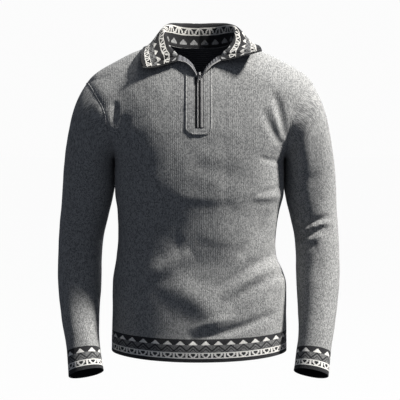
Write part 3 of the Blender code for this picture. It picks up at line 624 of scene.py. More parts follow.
def add_back(net, side):
    neck = fine_steps((BACK_MIDDLE[-1], *BACK_NECK), True)
    upper = upper_rows(side, BACK, fine_steps(BACK_MIDDLE, False) + neck[1:])
    step = (UNDERARM_Z - HEM_SEAM_Z) / LOWER_ROWS
    lower = [level_row(HEM_SEAM_Z + step * i, side, BACK) for i in range(LOWER_ROWS)]
    rows = lower + upper
    places = [[flat_place(point, side, BACK) for point in row] for row in rows]
    net.add_grid("back", rows, places, side)
    add_hem(net, "hem_back", side, BACK, side)
    return [row[-1] for row in upper[(len(BACK_MIDDLE) - 1) * FINE :]]


HEM_REPEATS = 38  # of the border's motif, all round
CUFF_REPEATS = 9
CUFF_TURN = 0.1


def add_hem(net, piece, side, face, outward):
    """A hem band's half, placed by repeats of the border and by height above its edge."""
    step = (HEM_SEAM_Z - HEM_Z) / HEM_ROWS
    rows = [level_row(HEM_Z + step * i, side, face) for i in range(HEM_ROWS + 1)]
    quarter = HEM_REPEATS / 4
    places = []
    for i in range(HEM_ROWS + 1):
        around = [quarter * (1 - j / COLUMNS) for j in range(COLUMNS + 1)]
        if face == BACK:
            around = [2 * quarter - u for u in around]
        places.append([(side * u, step * i) for u in around])
    net.add_grid(piece, rows, places, outward)


def rounded(value):
    return math.copysign(abs(value) ** (2 / SLEEVE_ROUND), value)


def ring_centre(ring):
    return Vector(((ring.x_in + ring.x_out) / 2, ring.y_mid, (ring.z_in + ring.z_out) / 2))


def ring_points(ring, before, after, side, steps):
    """A ring's points: from its inner point over the front to the outer one, and back behind."""
    wide = Vector((ring.x_out - ring.x_in, 0.0, ring.z_out - ring.z_in)) / 2
    run = ring_centre(after) - ring_centre(before)
    forward = run.cross(wide).normalized()
    if forward.y > 0:
        forward.negate()
    points = []
    for i in range(2 * steps):
        turn = math.pi * i / steps
        point = ring_centre(ring) - wide * rounded(math.cos(turn))
        point += forward * ring.half_depth * rounded(math.sin(turn))
        points.append(Vector((side * point.x, point.y, point.z)))
    return points + points[:1]


def hung(ring, side):
    """The ring, moved out on the side whose sleeve hangs further from the body."""
    share = min(max((-0.32 - ring.z_out) / 0.08, 0.0), 1.0) if side < 0 else 0.0
    out = RIGHT_SLEEVE_OUT * share
    return ring._replace(x_in=ring.x_in + out, x_out=ring.x_out + out)


def add_sleeve(net, side, name):
    steps = (len(BACK_MIDDLE) + len(BACK_NECK) - 1) * FINE
    loop = armhole(side, FRONT, steps) + armhole(side, BACK, steps)[::-1][1:]
    rings = [hung(ring, side) for ring in SLEEVE + CUFF]
    made = [loop]
    for i, ring in enumerate(rings):
        before, after = rings[max(i - 1, 0)], rings[min(i + 1, len(rings) - 1)]
        made.append(ring_points(ring, before, after, side, steps))
    Spot = namedtuple("Spot", "at point")
    columns = []
    for line in zip(*made):
        spots = [Spot(i, point) for i, point in enumerate(line)]
        places = [i / FINE for i in range((len(line) - 1) * FINE + 1)]
        columns.append([along(spots, at, "point") for at in places])
    rows = [list(row) for row in zip(*columns)]
    last = len(SLEEVE) * FINE
    lengths = line_lengths([sum(row[:-1], Vector()) / (len(row) - 1) for row in rows])
    places = []
    for row, length in zip(rows, lengths):
        girth = line_lengths(row)
        places.append([(side * (at - girth[-1] / 2), -length) for at in girth])
    net.add_grid("sleeve_" + name, rows[: last + 1], places[: last + 1], -side)
    places = []
    for row, length in zip(rows[last:], lengths[last:]):
        girth = line_lengths(row)
        around = [CUFF_REPEATS * (at / girth[-1]) + CUFF_TURN for at in girth]
        places.append([(u, lengths[-1] - length) for u in around])
    net.add_grid("cuff_" + name, rows[last:], places, -side)


COLLAR_REPEATS = 17


# How far each leaf of the collar runs out from the roll before it falls, and how it flares.
LEAF_LEAST = 0.024
LEAF_RUN = {1: 0.7, -1: 0.35}
LEAF_FLARE = {1: 0.0, -1: 0.035}


def collar_section(neck, place, side):
    """A section of the collar, from the neck seam over the roll to the outer edge, finely."""
    roll, edge = (Vector((side * p[0], p[1], p[2])) for p in (place.roll, place.edge))
    roll = roll.lerp(neck, smooth_step(*STAND_ENDS, place.along))
    over = Vector((edge.x - roll.x, edge.y - roll.y, 0.0)).normalized()
    stand = (roll - neck).length
    steps = 40
    pull = over * min(ROLL_PULL, stand * 0.6)
    line = [blend(neck, roll, (roll - neck) * 1.1, pull, i / steps) for i in range(steps)]
    out = over * max(LEAF_LEAST, (edge - roll).length * LEAF_RUN[side])
    for i in range(steps + 1):
        clear = COLLAR_CLEAR * min(i / steps * 5, 1.0)
        settle = (edge - roll) * 0.9 + Vector((0.0, 0.0, LEAF_FLARE[side]))
        point = blend(roll, edge, out, settle, i / steps)
        line.append(clear_of_chest(point, clear))
    return line, stand


def clear_of_chest(point, clear):
    """The point, moved forward or back to lie clear of the shoulders and chest."""
    if point.z > shoulder_z(point.x):
        return point
    face = FRONT if point.y < 0 else BACK
    least = depth(point.x, point.z, face) + clear
    return Vector((point.x, face * max(abs(point.y), least), point.z))


def add_collar(net, side, seam):
    """Half the collar: seam holds the neck seam's points from the back's middle to the zip edge."""
    lengths = line_lengths(seam)
    columns, places = [], []
    for neck, length in zip(seam, lengths):
        share = length / lengths[-1]
        spot = Place(
            share,
            [smooth_part(COLLAR[side], share, "roll", i) for i in range(3)],
            [smooth_part(COLLAR[side], share, "edge", i) for i in range(3)],
        )
        line, stand = collar_section(neck, spot, side)
        column, wanted = split_section(line, max(stand, STAND_LEAST))
        columns.append(column)
        repeats = side * COLLAR_REPEATS / 2 * share
        places.append([(repeats, COLLAR_HEIGHT * at / wanted[-1]) for at in wanted])
    rows = [list(row) for row in zip(*columns)]
    net.add_grid("collar", rows, [list(row) for row in zip(*places)], -side)
    return columns[-1]


def smooth_part(rows, at, column, part):
    Part = namedtuple("Part", "along value")
    return along([Part(row.along, getattr(row, column)[part]) for row in rows], at, "value")


def split_section(line, stand):
    lengths = line_lengths(line)
    fall = lengths[-1] - stand
    wanted = [stand * i / STAND_STEPS for i in range(STAND_STEPS)]
    wanted += [stand + fall * (i / FALL_STEPS) ** 1.25 for i in range(FALL_STEPS + 1)]
    return [at_length(line, lengths, value) for value in wanted], wanted


@functools.cache
def cloth_net():
    """The settled net, and the zip edge of each side with its way out of the cloth."""
    net = Net()
    edges = {}
    for side, name in ((1, "left"), (-1, "right")):
        front_neck, edge = add_front(net, side)
        back_neck = add_back(net, side)
        add_sleeve(net, side, name)
        leaf = add_collar(net, side, back_neck + front_neck[1:])
        edges[side] = [[net.number(point) for point in line] for line in (edge, leaf)]
    net.settle()
    return net, edges


# ---------------------------------------------------------------- laying pieces of cloth


def pick_none():
    if bpy.context.object and bpy.context.object.mode != "OBJECT":
        bpy.ops.object.mode_set(mode="OBJECT")
    bpy.ops.object.select_all(action="DESELECT")


def pick(*items):
    pick_none()
    for item in items:
        item.select_set(True)
    bpy.context.view_layer.objects.active = items[0]


def lay_grid(points, places, outward=1):
    """A grid primitive whose points are moved to the given rows, with the knit's places as UVs."""
    points, places = np.array(points, dtype=float), np.array(places, dtype=float)
    rows, columns = points.shape[:2]
    pick_none()
    bpy.ops.mesh.primitive_grid_add(x_subdivisions=columns - 1, y_subdivisions=rows - 1, size=1)
    item = bpy.context.active_object
    mesh = item.data
    spots = np.empty(len(mesh.vertices) * 3)
    mesh.vertices.foreach_get("co", spots)
    spots = spots.reshape(-1, 3)
    j = np.rint((spots[:, 0] + 0.5) * (columns - 1)).astype(int)
    i = np.rint((spots[:, 1] + 0.5) * (rows - 1)).astype(int)
    mesh.vertices.foreach_set("co", points[i, j].ravel())
    corners = np.empty(len(mesh.loops), dtype=int)
    mesh.loops.foreach_get("vertex_index", corners)
    mesh.uv_layers.active.data.foreach_set("uv", places[i, j][corners].ravel())
    if outward < 0:
        mesh.flip_normals()
    mesh.update()
    return item


def join_pieces(name, items):
    """Joins items into one piece of that name, and closes the seams between them."""
    pick(*items)
    if len(items) > 1:
        bpy.ops.object.join()
    piece = bpy.context.active_object
    bpy.ops.object.mode_set(mode="EDIT")
    bpy.ops.mesh.select_all(action="SELECT")
    bpy.ops.mesh.remove_doubles(threshold=0.00002)
    bpy.ops.object.mode_set(mode="OBJECT")
    piece.name = piece.data.name = name
    return piece


def add_modifier(piece, kind, **settings):
    """Adds a modifier with its settings, and applies it."""
    pick(piece)
    modifier = piece.modifiers.new(kind.title(), kind)
    for name, value in settings.items():
        setattr(modifier, name, value)
    bpy.ops.object.modifier_apply(modifier=modifier.name)


def give_wall(piece, thickness):
    """Thickens a piece inwards; its second material covers the inner face."""
    inner = 1 if len(piece.data.materials) > 1 else 0
    settings = dict(thickness=thickness, offset=-1.0, use_rim=True, material_offset=inner)
    add_modifier(piece, "SOLIDIFY", **settings)
    pick(piece)
    bpy.ops.object.shade_smooth_by_angle(angle=math.radians(50))


def lay_cloth(name, grid_name, materials):
    """One piece of the net, as a wall of cloth."""
    net, _ = cloth_net()
    items = []
    for numbers, places, outward in net.grids[grid_name]:
        items.append(lay_grid(net.points[numbers], places, outward))
    piece = join_pieces(name, items)
    piece.data.materials.clear()
    for material in materials:
        piece.data.materials.append(material)
    give_wall(piece, bpy.context.scene.sweater_cloth.wall)
    return piece


def settle_on(piece, node, body=BODY):
    """The piece takes the node's place, and moves with its body."""
    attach(piece, body)
    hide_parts(node)


def copy_along(name, item, frames):
    """Copies of one small item, each with its own mesh, for frames of middle, x, y and z ways."""
    copies = []
    for middle, *ways in frames:
        copy = item.copy()
        copy.data = item.data.copy()
        bpy.context.collection.objects.link(copy)
        turn = Matrix(ways).transposed().to_4x4()
        copy.data.transform(Matrix.Translation(middle) @ turn)
        copies.append(copy)
    bpy.data.objects.remove(item, do_unlink=True)
    pick(*copies)
    bpy.ops.object.join()
    piece = bpy.context.active_object
    piece.name = piece.data.name = name
    return piece


def add_block(size, middle=(0, 0, 0), bevel=0.0, segments=2):
    """A bevelled block with its place in its mesh."""
    pick_none()
    bpy.ops.mesh.primitive_cube_add(size=1)
    item = bpy.context.active_object
    item.data.transform(Matrix.Translation(middle) @ Matrix.Diagonal((*size, 1.0)))
    if bevel:
        add_modifier(item, "BEVEL", width=bevel, segments=segments, limit_method="ANGLE")
    return item


def cut_with(item, tool):
    """Cuts the tool out of the item, and removes the tool."""
    add_modifier(item, "BOOLEAN", operation="DIFFERENCE", object=tool, solver="EXACT")
    bpy.data.objects.remove(tool, do_unlink=True)


# ---------------------------------------------------------------- materials
PURL_ROW = 0.0052
CORD_STITCH = 0.0019


def linear(hex_colour):
    """An sRGB hex colour as linear red, green, blue and alpha."""
    parts = [int(hex_colour[i : i + 2], 16) / 255 for i in (1, 3, 5)]
    return (*(p / 12.92 if p <= 0.04045 else ((p + 0.055) / 1.055) ** 2.4 for p in parts), 1.0)


def put(tree, kind, values=(), out=0, **settings):
    """Adds a node with its settings. Its inputs get the values, as numbers, colours or links."""
    made = tree.nodes.new("ShaderNode" + kind)
    for name, value in settings.items():
        setattr(made, name, value)
    pairs = values.items() if isinstance(values, dict) else enumerate(values)
    for place, value in pairs:
        if isinstance(value, bpy.types.NodeSocket):
            tree.links.new(value, made.inputs[place])
        else:
            made.inputs[place].default_value = value
    return made.outputs[out] if made.outputs else None


def start_material(name, values):
    """A new material and its shader; values are set on the shader's own sockets."""
    material = bpy.data.materials.new(name)
    material.use_nodes = True
    shader = material.node_tree.nodes["Principled BSDF"]
    for socket, value in values.items():
        shader.inputs[socket].default_value = value
    return material, material.node_tree, shader


def tint_between(tree, shader, share, dark, light):
    """Colours a material between two shades, by a share from 0 to 1."""
    colours = {0: share, 6: linear(dark), 7: linear(light)}
    colour = put(tree, "Mix", colours, out=2, data_type="RGBA")
    tree.links.new(colour, shader.inputs["Base Color"])


def raise_by(tree, shader, height, strength, distance):
    """Bumps a material by a height from 0 to 1, at most by the distance."""
    bump = put(tree, "Bump", {"Height": height, "Strength": strength, "Distance": distance})
    tree.links.new(bump, shader.inputs["Normal"])


Knit = namedtuple("Knit", "height rib speck")


def knit(tree, wale, course):
    """Stockinette, from places counted in wales and courses: two legs to a stitch, in a V.

    Gives the height of the yarn, how near a place is to a wale's crest, and a shade that differs
    from leg to leg.
    """
    inside = put(tree, "Math", (wale,), operation="FRACT")
    side = put(tree, "Math", (inside, 0.5), operation="SUBTRACT")
    side = put(tree, "Math", (side,), operation="ABSOLUTE")
    rib = put(tree, "Math", (side, side), operation="MULTIPLY")
    rib = put(tree, "Math", (rib, -4.0, 1.0), operation="MULTIPLY_ADD")
    slant = put(tree, "Math", (side, 1.3, course), operation="MULTIPLY_ADD")
    share = put(tree, "Math", (slant,), operation="FRACT")
    hump = put(tree, "Math", (share, 2.0, -1.0), operation="MULTIPLY_ADD")
    hump = put(tree, "Math", (hump, hump), operation="MULTIPLY")
    hump = put(tree, "Math", (hump, -0.5, 1.0), operation="MULTIPLY_ADD")
    height = put(tree, "Math", (rib, hump), operation="MULTIPLY")
    leg = put(tree, "Math", (put(tree, "Math", (wale, 2.0), operation="MULTIPLY"),),
              operation="FLOOR")
    row = put(tree, "Math", (slant,), operation="FLOOR")
    cell = put(tree, "CombineXYZ", (leg, row, 0.0))
    speck = put(tree, "TexWhiteNoise", {"Vector": cell}, noise_dimensions="2D")
    return Knit(height, rib, speck)


def heather(tree, u, v, speck):
    """The share of light fibre in a melange yarn: it differs by stitch, and in finer specks."""
    spot = put(tree, "CombineXYZ", (u, v, 0.0))
    scale = 1.0 / bpy.context.scene.sweater_cloth.speck
    fine = put(tree, "TexNoise", {"Vector": spot, "Scale": scale, "Detail": 2.0})
    total = put(tree, "Math", (speck, 0.5, fine), operation="MULTIPLY_ADD")
    return put(tree, "MapRange", {"Value": total, "From Min": 0.30, "From Max": 1.20})


def metre_places(tree):
    """A piece's own UV map, which holds metres of knit across and along its wales."""
    spot = put(tree, "UVMap", uv_map="UVMap")
    parts = put(tree, "SeparateXYZ", (spot,))
    return parts, parts.node.outputs[1]


@functools.cache
def melange_knit():
    """Wool melange stockinette: soft grey with lighter and darker fibres, and upright wales with painted
    shade in their grooves.

    The wales are drawn coarser than real ones, so that they show at the size of the whole jumper.
    """
    cloth = bpy.context.scene.sweater_cloth
    material, tree, shader = start_material(
        "Wool melange stockinette", {"Roughness": 0.95, "Specular IOR Level": 0.25},
    )
    shader.inputs["Sheen Weight"].default_value = 0.04
    shader.inputs["Sheen Roughness"].default_value = 0.6
    u, v = metre_places(tree)
    wale = put(tree, "Math", (u, 1.0 / cloth.wale), operation="MULTIPLY")
    course = put(tree, "Math", (v, 1.0 / cloth.course), operation="MULTIPLY")
    stitches = knit(tree, wale, course)
    light = heather(tree, u, v, stitches.speck)
    fibres = {0: light, 6: cloth.dark_fibre, 7: cloth.light_fibre}
    mixed = put(tree, "Mix", fibres, out=2, data_type="RGBA")
    # Darker in the grooves between wales, lighter on their crests: painted shade.
    shade = put(tree, "Math", (stitches.rib, 0.15, 0.87), operation="MULTIPLY_ADD")
    colour = put(tree, "VectorMath", {0: mixed, 3: shade}, operation="SCALE")
    tree.links.new(colour, shader.inputs["Base Color"])
    fuzz = put(tree, "Math", (light, 0.35, stitches.height), operation="MULTIPLY_ADD")
    raise_by(tree, shader, fuzz, 0.4, 0.0005)
    return material


@functools.cache
def inner_knit():
    """The purl side, in the face's wool made darker by painted shade for the inside: rows of small bumps.
    """
    cloth = bpy.context.scene.sweater_cloth
    material, tree, shader = start_material(
        "Plated wool purl side", {"Roughness": 0.97, "Specular IOR Level": 0.15},
    )
    u, v = metre_places(tree)
    row = put(tree, "Math", (v, math.tau / PURL_ROW), operation="MULTIPLY")
    ridge = put(tree, "Math", (row,), operation="SINE")
    spot = put(tree, "CombineXYZ", (u, v, 0.0))
    fine = put(tree, "TexNoise", {"Vector": spot, "Scale": 0.6 / cloth.speck, "Detail": 2.0})
    share = put(tree, "Math", (ridge, 0.22, fine), operation="MULTIPLY_ADD")
    # Darker than the face, and darker again in the troughs between rows: painted shade.
    tint_between(tree, shader, share, "#38383a", "#76767a")
    raise_by(tree, shader, ridge, 0.6, 0.0006)
    return material


Band = namedtuple("Band", "motif low high turned")
HEM_BANDS = (  # from the edge up, in metres
    Band("lattice", 0.0080, 0.0210, False),
    Band("zigzag", 0.0210, 0.0370, False),
    Band("triangles", 0.0370, 0.0468, False),
    Band("melange", 0.0492, 0.0570, False),
)
COLLAR_BANDS = (  # from the neck seam to the outer edge
    Band("grey triangles", 0.0050, 0.0165, False),
    Band("lattice", 0.0225, 0.0370, False),
    Band("triangles", 0.0435, 0.0545, True),
    Band("zigzag", 0.0550, 0.0685, True),
    Band("lattice", 0.0690, 0.0825, True),
)
BORDER_STITCHES = 12  # to a repeat of the border's motif
BORDER_COURSE = 0.00205


def motif(tree, band, across, v):
    """A band's white and grey shares. across is 0 in the middle of a motif and 1 between two."""
    height = band.high - band.low
    rows = round(height / BORDER_COURSE)
    place = put(tree, "Math", (v, rows / height, -band.low * rows / height), operation="MULTIPLY_ADD")
    row = put(tree, "Math", (put(tree, "Math", (place,), operation="FLOOR"), 0.5))
    share = put(tree, "Math", (row, 1.0 / rows), operation="MULTIPLY")
    above = put(tree, "Math", (share, 0.0), operation="GREATER_THAN")
    under = put(tree, "Math", (share, 1.0), operation="LESS_THAN")
    inside = put(tree, "Math", (above, under), operation="MULTIPLY")
    if band.motif == "melange":
        return None, inside
    if band.turned:
        share = put(tree, "Math", (1.0, share), operation="SUBTRACT")
    if "triangles" in band.motif:
        reach = put(tree, "Math", (share, -0.78, 0.78), operation="MULTIPLY_ADD")
        under = put(tree, "Math", (across, reach), operation="LESS_THAN")
        filled = put(tree, "Math", (under, inside), operation="MULTIPLY")
        return (None, filled) if "grey" in band.motif else (filled, None)
    if band.motif == "zigzag":
        slope = put(tree, "Math", (across, 0.66, share), operation="MULTIPLY_ADD")
        upper = put(tree, "Math", (slope, 0.90, 0.11), operation="COMPARE")
        lower = put(tree, "Math", (slope, 0.50, 0.07), operation="COMPARE")
        lines = put(tree, "Math", (upper, lower), operation="MAXIMUM")
        grey = put(tree, "Math", (lines, -0.55, 0.55), operation="MULTIPLY_ADD")
        return None, put(tree, "Math", (grey, inside), operation="MULTIPLY")
    outer = put(tree, "Math", (share, 0.80, 0.14), operation="MULTIPLY_ADD")
    inner = put(tree, "Math", (share, 0.80, -0.20), operation="MULTIPLY_ADD")
    past_arm = put(tree, "Math", (across, outer), operation="GREATER_THAN")
    off_post = put(tree, "Math", (across, 0.86), operation="LESS_THAN")
    beside = put(tree, "Math", (past_arm, off_post), operation="MULTIPLY")
    within = put(tree, "Math", (across, inner), operation="LESS_THAN")
    hole = put(tree, "Math", (beside, within), operation="MAXIMUM")
    between = put(tree, "Math", (share, 0.5, 0.37), operation="COMPARE")
    dark = put(tree, "Math", (hole, between), operation="MULTIPLY")
    return put(tree, "Math", (inside, dark), operation="SUBTRACT", use_clamp=True), None


@functools.cache
def border_knit(name, bands, ground, motifs):
    """Stranded two-colour knitting: charcoal ground, motifs in off-white and grey melange.

    ground and motifs are the darker and the lighter fibres of their yarns, as hex colours.
    """
    cloth = bpy.context.scene.sweater_cloth
    material, tree, shader = start_material(name, {"Roughness": 0.92, "Specular IOR Level": 0.25})
    shader.inputs["Sheen Weight"].default_value = 0.04
    shader.inputs["Sheen Roughness"].default_value = 0.6
    spot = put(tree, "UVMap", uv_map="UVMap")
    u = put(tree, "SeparateXYZ", (spot,))
    v = u.node.outputs[1]
    stitch = put(tree, "Math", (u, float(BORDER_STITCHES)), operation="MULTIPLY")
    course = put(tree, "Math", (v, 1.0 / BORDER_COURSE), operation="MULTIPLY")
    stitches = knit(tree, stitch, course)
    turn = put(tree, "Math", (u, 1.0), operation="FLOORED_MODULO")
    whole = put(tree, "Math", (turn, float(BORDER_STITCHES)), operation="MULTIPLY")
    whole = put(tree, "Math", (whole,), operation="FLOOR")
    middle = (BORDER_STITCHES - 1) / 2
    off = put(tree, "Math", (whole, middle), operation="SUBTRACT")
    off = put(tree, "Math", (off,), operation="ABSOLUTE")
    across = put(tree, "Math", (off, 1.0 / (middle + 0.5)), operation="MULTIPLY")
    white = grey = None
    for band in bands:
        white_here, grey_here = motif(tree, band, across, v)
        if white_here:
            white = put(tree, "Math", (white, white_here)) if white else white_here
        if grey_here:
            grey = put(tree, "Math", (grey, grey_here)) if grey else grey_here
    metres = put(tree, "Math", (u, 0.0265), operation="MULTIPLY")
    light = heather(tree, metres, v, stitches.speck)
    pairs = (
        (cloth.dark_fibre, cloth.light_fibre),
        [linear(fibre) for fibre in ground],
        [linear(fibre) for fibre in motifs],
    )
    melange, charcoal, off_white = (
        put(tree, "Mix", {0: light, 6: dark, 7: pale}, out=2, data_type="RGBA")
        for dark, pale in pairs
    )
    base = put(tree, "Mix", {0: grey, 6: charcoal, 7: melange}, out=2, data_type="RGBA")
    yarn = put(tree, "Mix", {0: white, 6: base, 7: off_white}, out=2, data_type="RGBA")
    # Darker in the grooves between wales, lighter on their crests: painted shade.
    shade = put(tree, "Math", (stitches.rib, 0.30, 0.76), operation="MULTIPLY_ADD")
    colour = put(tree, "VectorMath", {0: yarn, 3: shade}, operation="SCALE")
    tree.links.new(colour, shader.inputs["Base Color"])
    raise_by(tree, shader, stitches.height, 0.6, 0.0005)
    return material


@functools.cache
def charcoal_knit():
    """Plain charcoal wool, for the collar's outer face and turned edges."""
    cloth = bpy.context.scene.sweater_cloth
    material, tree, shader = start_material(
        "Charcoal wool knit", {"Roughness": 0.95, "Specular IOR Level": 0.2},
    )
    spot = put(tree, "TexCoord", out=3)
    fine = put(tree, "TexNoise", {"Vector": spot, "Scale": 0.8 / cloth.speck, "Detail": 2.0})
    tint_between(tree, shader, fine, "#121213", "#2c2c2f")
    raise_by(tree, shader, fine, 0.5, 0.0005)
    return material


@functools.cache
def corded_welt():
    """Light grey knitted cord: a soft pale edge with short slanting stitches."""
    material, tree, shader = start_material(
        "Light grey knitted cord", {"Roughness": 0.9, "Specular IOR Level": 0.3},
    )
    u, v = metre_places(tree)
    slant = put(tree, "Math", (v, 1.0 / CORD_STITCH, put(tree, "Math", (u, 260.0), operation="MULTIPLY")),
                operation="MULTIPLY_ADD")
    turn = put(tree, "Math", (slant, math.tau), operation="MULTIPLY")
    wave = put(tree, "Math", (turn,), operation="SINE")
    share = put(tree, "Math", (wave, 0.5, 0.5), operation="MULTIPLY_ADD")
    # Darker in the troughs between the slanting stitches, lighter on their crests: painted shade.
    tint_between(tree, shader, share, "#6e6e70", "#9c9b99")
    raise_by(tree, shader, share, 0.6, 0.0004)
    return material


@functools.cache
def twill_tape():
    """Black polyester zip tape: fine diagonal ribs with a faint shine."""
    material, tree, shader = start_material(
        "Black polyester zip tape", {"Roughness": 0.75, "Specular IOR Level": 0.4},
    )
    shader.inputs["Base Color"].default_value = linear("#121213")
    spot = put(tree, "TexCoord", out=3)
    wave = put(
        tree, "TexWave", {"Vector": spot, "Scale": 240.0, "Distortion": 0.4}, out=1,
        bands_direction="DIAGONAL",
    )
    raise_by(tree, shader, wave, 0.4, 0.0002)
    return material


@functools.cache
def tooth_plastic():
    """Moulded acetal: black teeth with a low gloss."""
    material, tree, shader = start_material(
        "Black moulded acetal", {"Roughness": 0.38, "Specular IOR Level": 0.5},
    )
    spot = put(tree, "TexCoord", out=3)
    mottle = put(tree, "TexNoise", {"Vector": spot, "Scale": 900.0, "Detail": 1.0})
    tint_between(tree, shader, mottle, "#0c0c0d", "#1f1f21")
    return material


@functools.cache
def plated_zinc():
    """Die-cast zinc plated in dark nickel: soft highlights, and cloudy paler and darker patches."""
    material, tree, shader = start_material("Dark nickel plated zinc", {"Metallic": 1.0})
    spot = put(tree, "TexCoord", out=3)
    cloudy = put(tree, "TexNoise", {"Vector": spot, "Scale": 380.0, "Detail": 3.0})
    tint_between(tree, shader, cloudy, "#5d5d60", "#a09f9d")
    rough = {"Value": cloudy, "To Min": 0.25, "To Max": 0.45}
    tree.links.new(put(tree, "MapRange", rough), shader.inputs["Roughness"])
    return material


# ---------------------------------------------------------------- zip and placket


def directions(path):
    """At each point of a path, the direction it runs in."""
    last = len(path) - 1
    return [(path[min(i + 1, last)] - path[max(i - 1, 0)]).normalized() for i in range(last + 1)]


def on_chest(spots):
    """Points off the chest for spots of x, z and out, pressed with the cloth under them."""
    flat = np.array([off_front(x, z, 0.0) for x, z, _ in spots])
    ways = np.array([chest_out(x, z) for x, z, _ in spots])
    rises = relief(flat, ways) + np.array([out for _, _, out in spots])
    return [Vector(point) for point in flat + ways * rises[:, None]]


def evenly(path, outs, step):
    """A smooth line through a path's points, a step apart, and the ways out of the cloth on it."""
    Spot = namedtuple("Spot", "at point out")
    spots = [Spot(i, Vector(p), Vector(out)) for i, (p, out) in enumerate(zip(path, outs))]
    places = [i / 8 for i in range((len(path) - 1) * 8 + 1)]
    line = [along(spots, at, "point") for at in places]
    ways = [along(spots, at, "out") for at in places]
    lengths = line_lengths(line)
    count = max(round(lengths[-1] / step), 2)
    wanted = [lengths[-1] * i / count for i in range(count + 1)]
    return (
        [at_length(line, lengths, value) for value in wanted],
        [at_length(ways, lengths, value).normalized() for value in wanted],
    )


BAR_POINTS = 14  # around a cord or a tape


def lay_bar(name, path, outs, width, thick, boxy, material):
    """A soft bar along a path, as a grid wrapped round it and shut at both ends."""
    rows, places = [], []
    lengths = line_lengths(path)
    for at, run, out, length in zip(path, directions(path), outs, lengths):
        across = run.cross(out).normalized()
        row, place = [], []
        for i in range(BAR_POINTS + 1):
            turn = -math.tau * i / BAR_POINTS
            a, b = math.cos(turn), math.sin(turn)
            a = math.copysign(abs(a) ** (2 / boxy), a) * width / 2
            b = math.copysign(abs(b) ** (2 / boxy), b) * thick / 2
            row.append(at + across * a + out * b)
            place.append((a, length))
        rows.append(row)
        places.append(place)
    first, last = ([at] * (BAR_POINTS + 1) for at in (path[0], path[-1]))
    grid = lay_grid([first] + rows + [last], [places[0]] + places + [places[-1]])
    piece = join_pieces(name, [grid])
    piece.data.materials.append(material)
    bpy.ops.object.mode_set(mode="EDIT")
    bpy.ops.mesh.select_all(action="SELECT")
    bpy.ops.mesh.normals_make_consistent(inside=False)
    bpy.ops.object.mode_set(mode="OBJECT")
    bpy.ops.object.shade_smooth()
    return piece


def edge_frame(side, which):
    """Points of a zip edge of the cloth, and the ways out of it and beyond it."""
    net, edges = cloth_net()
    edge = [Vector(net.points[n]) for n in edges[side][which]]
    outs = [-Vector(net.normals[n]) for n in edges[side][which]]
    beyond = [run.cross(out).normalized() * side for run, out in zip(directions(edge), outs)]
    return edge, outs, beyond


def lay_cord(side, name):
    """The knitted cord beside the teeth, which goes on along the turned zip edge."""
    welt = WELTS[side]
    wall = bpy.context.scene.sweater_cloth.wall
    low, top = ZIP_END_Z + 0.001, FRONT_INNER[-1].z
    levels = [low + (top - low) * i / 12 for i in range(13)]
    path = on_chest([(welt.x, z, ON_CLOTH + WELT_THICK / 2) for z in levels])
    outs = [chest_out(welt.x, z) for z in levels]
    for at, out, away in list(zip(*edge_frame(side, 0)))[3::3]:
        path.append(at + away * (welt.width / 2 + 0.0002) + out * (wall / 2))
        outs.append(out)
    path, outs = evenly(path, outs, 0.0020)
    piece = lay_bar("cord_" + name, path, outs, welt.width, WELT_THICK, 2.5, corded_welt())
    settle_on(piece, "zip_welt_" + name)
    return piece


def lay_seam(name):
    """The armhole's linked seam, as a low ridge of knit round the sleeve's first row."""
    net, _ = cloth_net()
    first = net.grids["sleeve_" + name][0][0][0]
    path = [Vector(net.points[n]) for n in first]
    outs = [Vector(net.normals[n]) for n in first]
    piece = lay_bar("seam_" + name, path, outs, SEAM_WIDTH, SEAM_THICK, 2.0, melange_knit())
    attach(piece, BODY)
    return piece


TOOTH_STEP = 0.0022


def open_tape(side, name):
    """Half the open zip on the collar's edge: its tape, and its teeth along the outer side."""
    wall = bpy.context.scene.sweater_cloth.wall
    path, outs = [], []
    for at, out, away in list(zip(*edge_frame(side, 1)))[2::2]:
        path.append(at + away * (TAPE_WIDTH / 2 + 0.0002) + out * (wall / 2))
        outs.append(out)
    path, outs = evenly(path, outs, TAPE_STEP)
    tape = lay_bar("tape_" + name, path, outs, TAPE_WIDTH, TAPE_THICK, 3.5, twill_tape())
    settle_on(tape, "zip_tape_" + name)
    path, outs = evenly(path, outs, TOOTH_STEP)
    frames = []
    for at, run, out in zip(path, directions(path), outs):
        beyond = run.cross(out).normalized() * side
        frames.append((at + beyond * (TAPE_WIDTH / 2 - 0.0004), beyond, run * side, out))
    teeth = copy_along("teeth_" + name, model_tooth(), frames)
    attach(teeth, BODY)
    return tape, teeth


def model_tooth():
    """One moulded tooth: a small bevelled block, its length across the tape."""
    tooth = add_block((0.0024, 0.0012, 0.0018), bevel=0.0003, segments=1)
    tooth.data.materials.append(tooth_plastic())
    return tooth


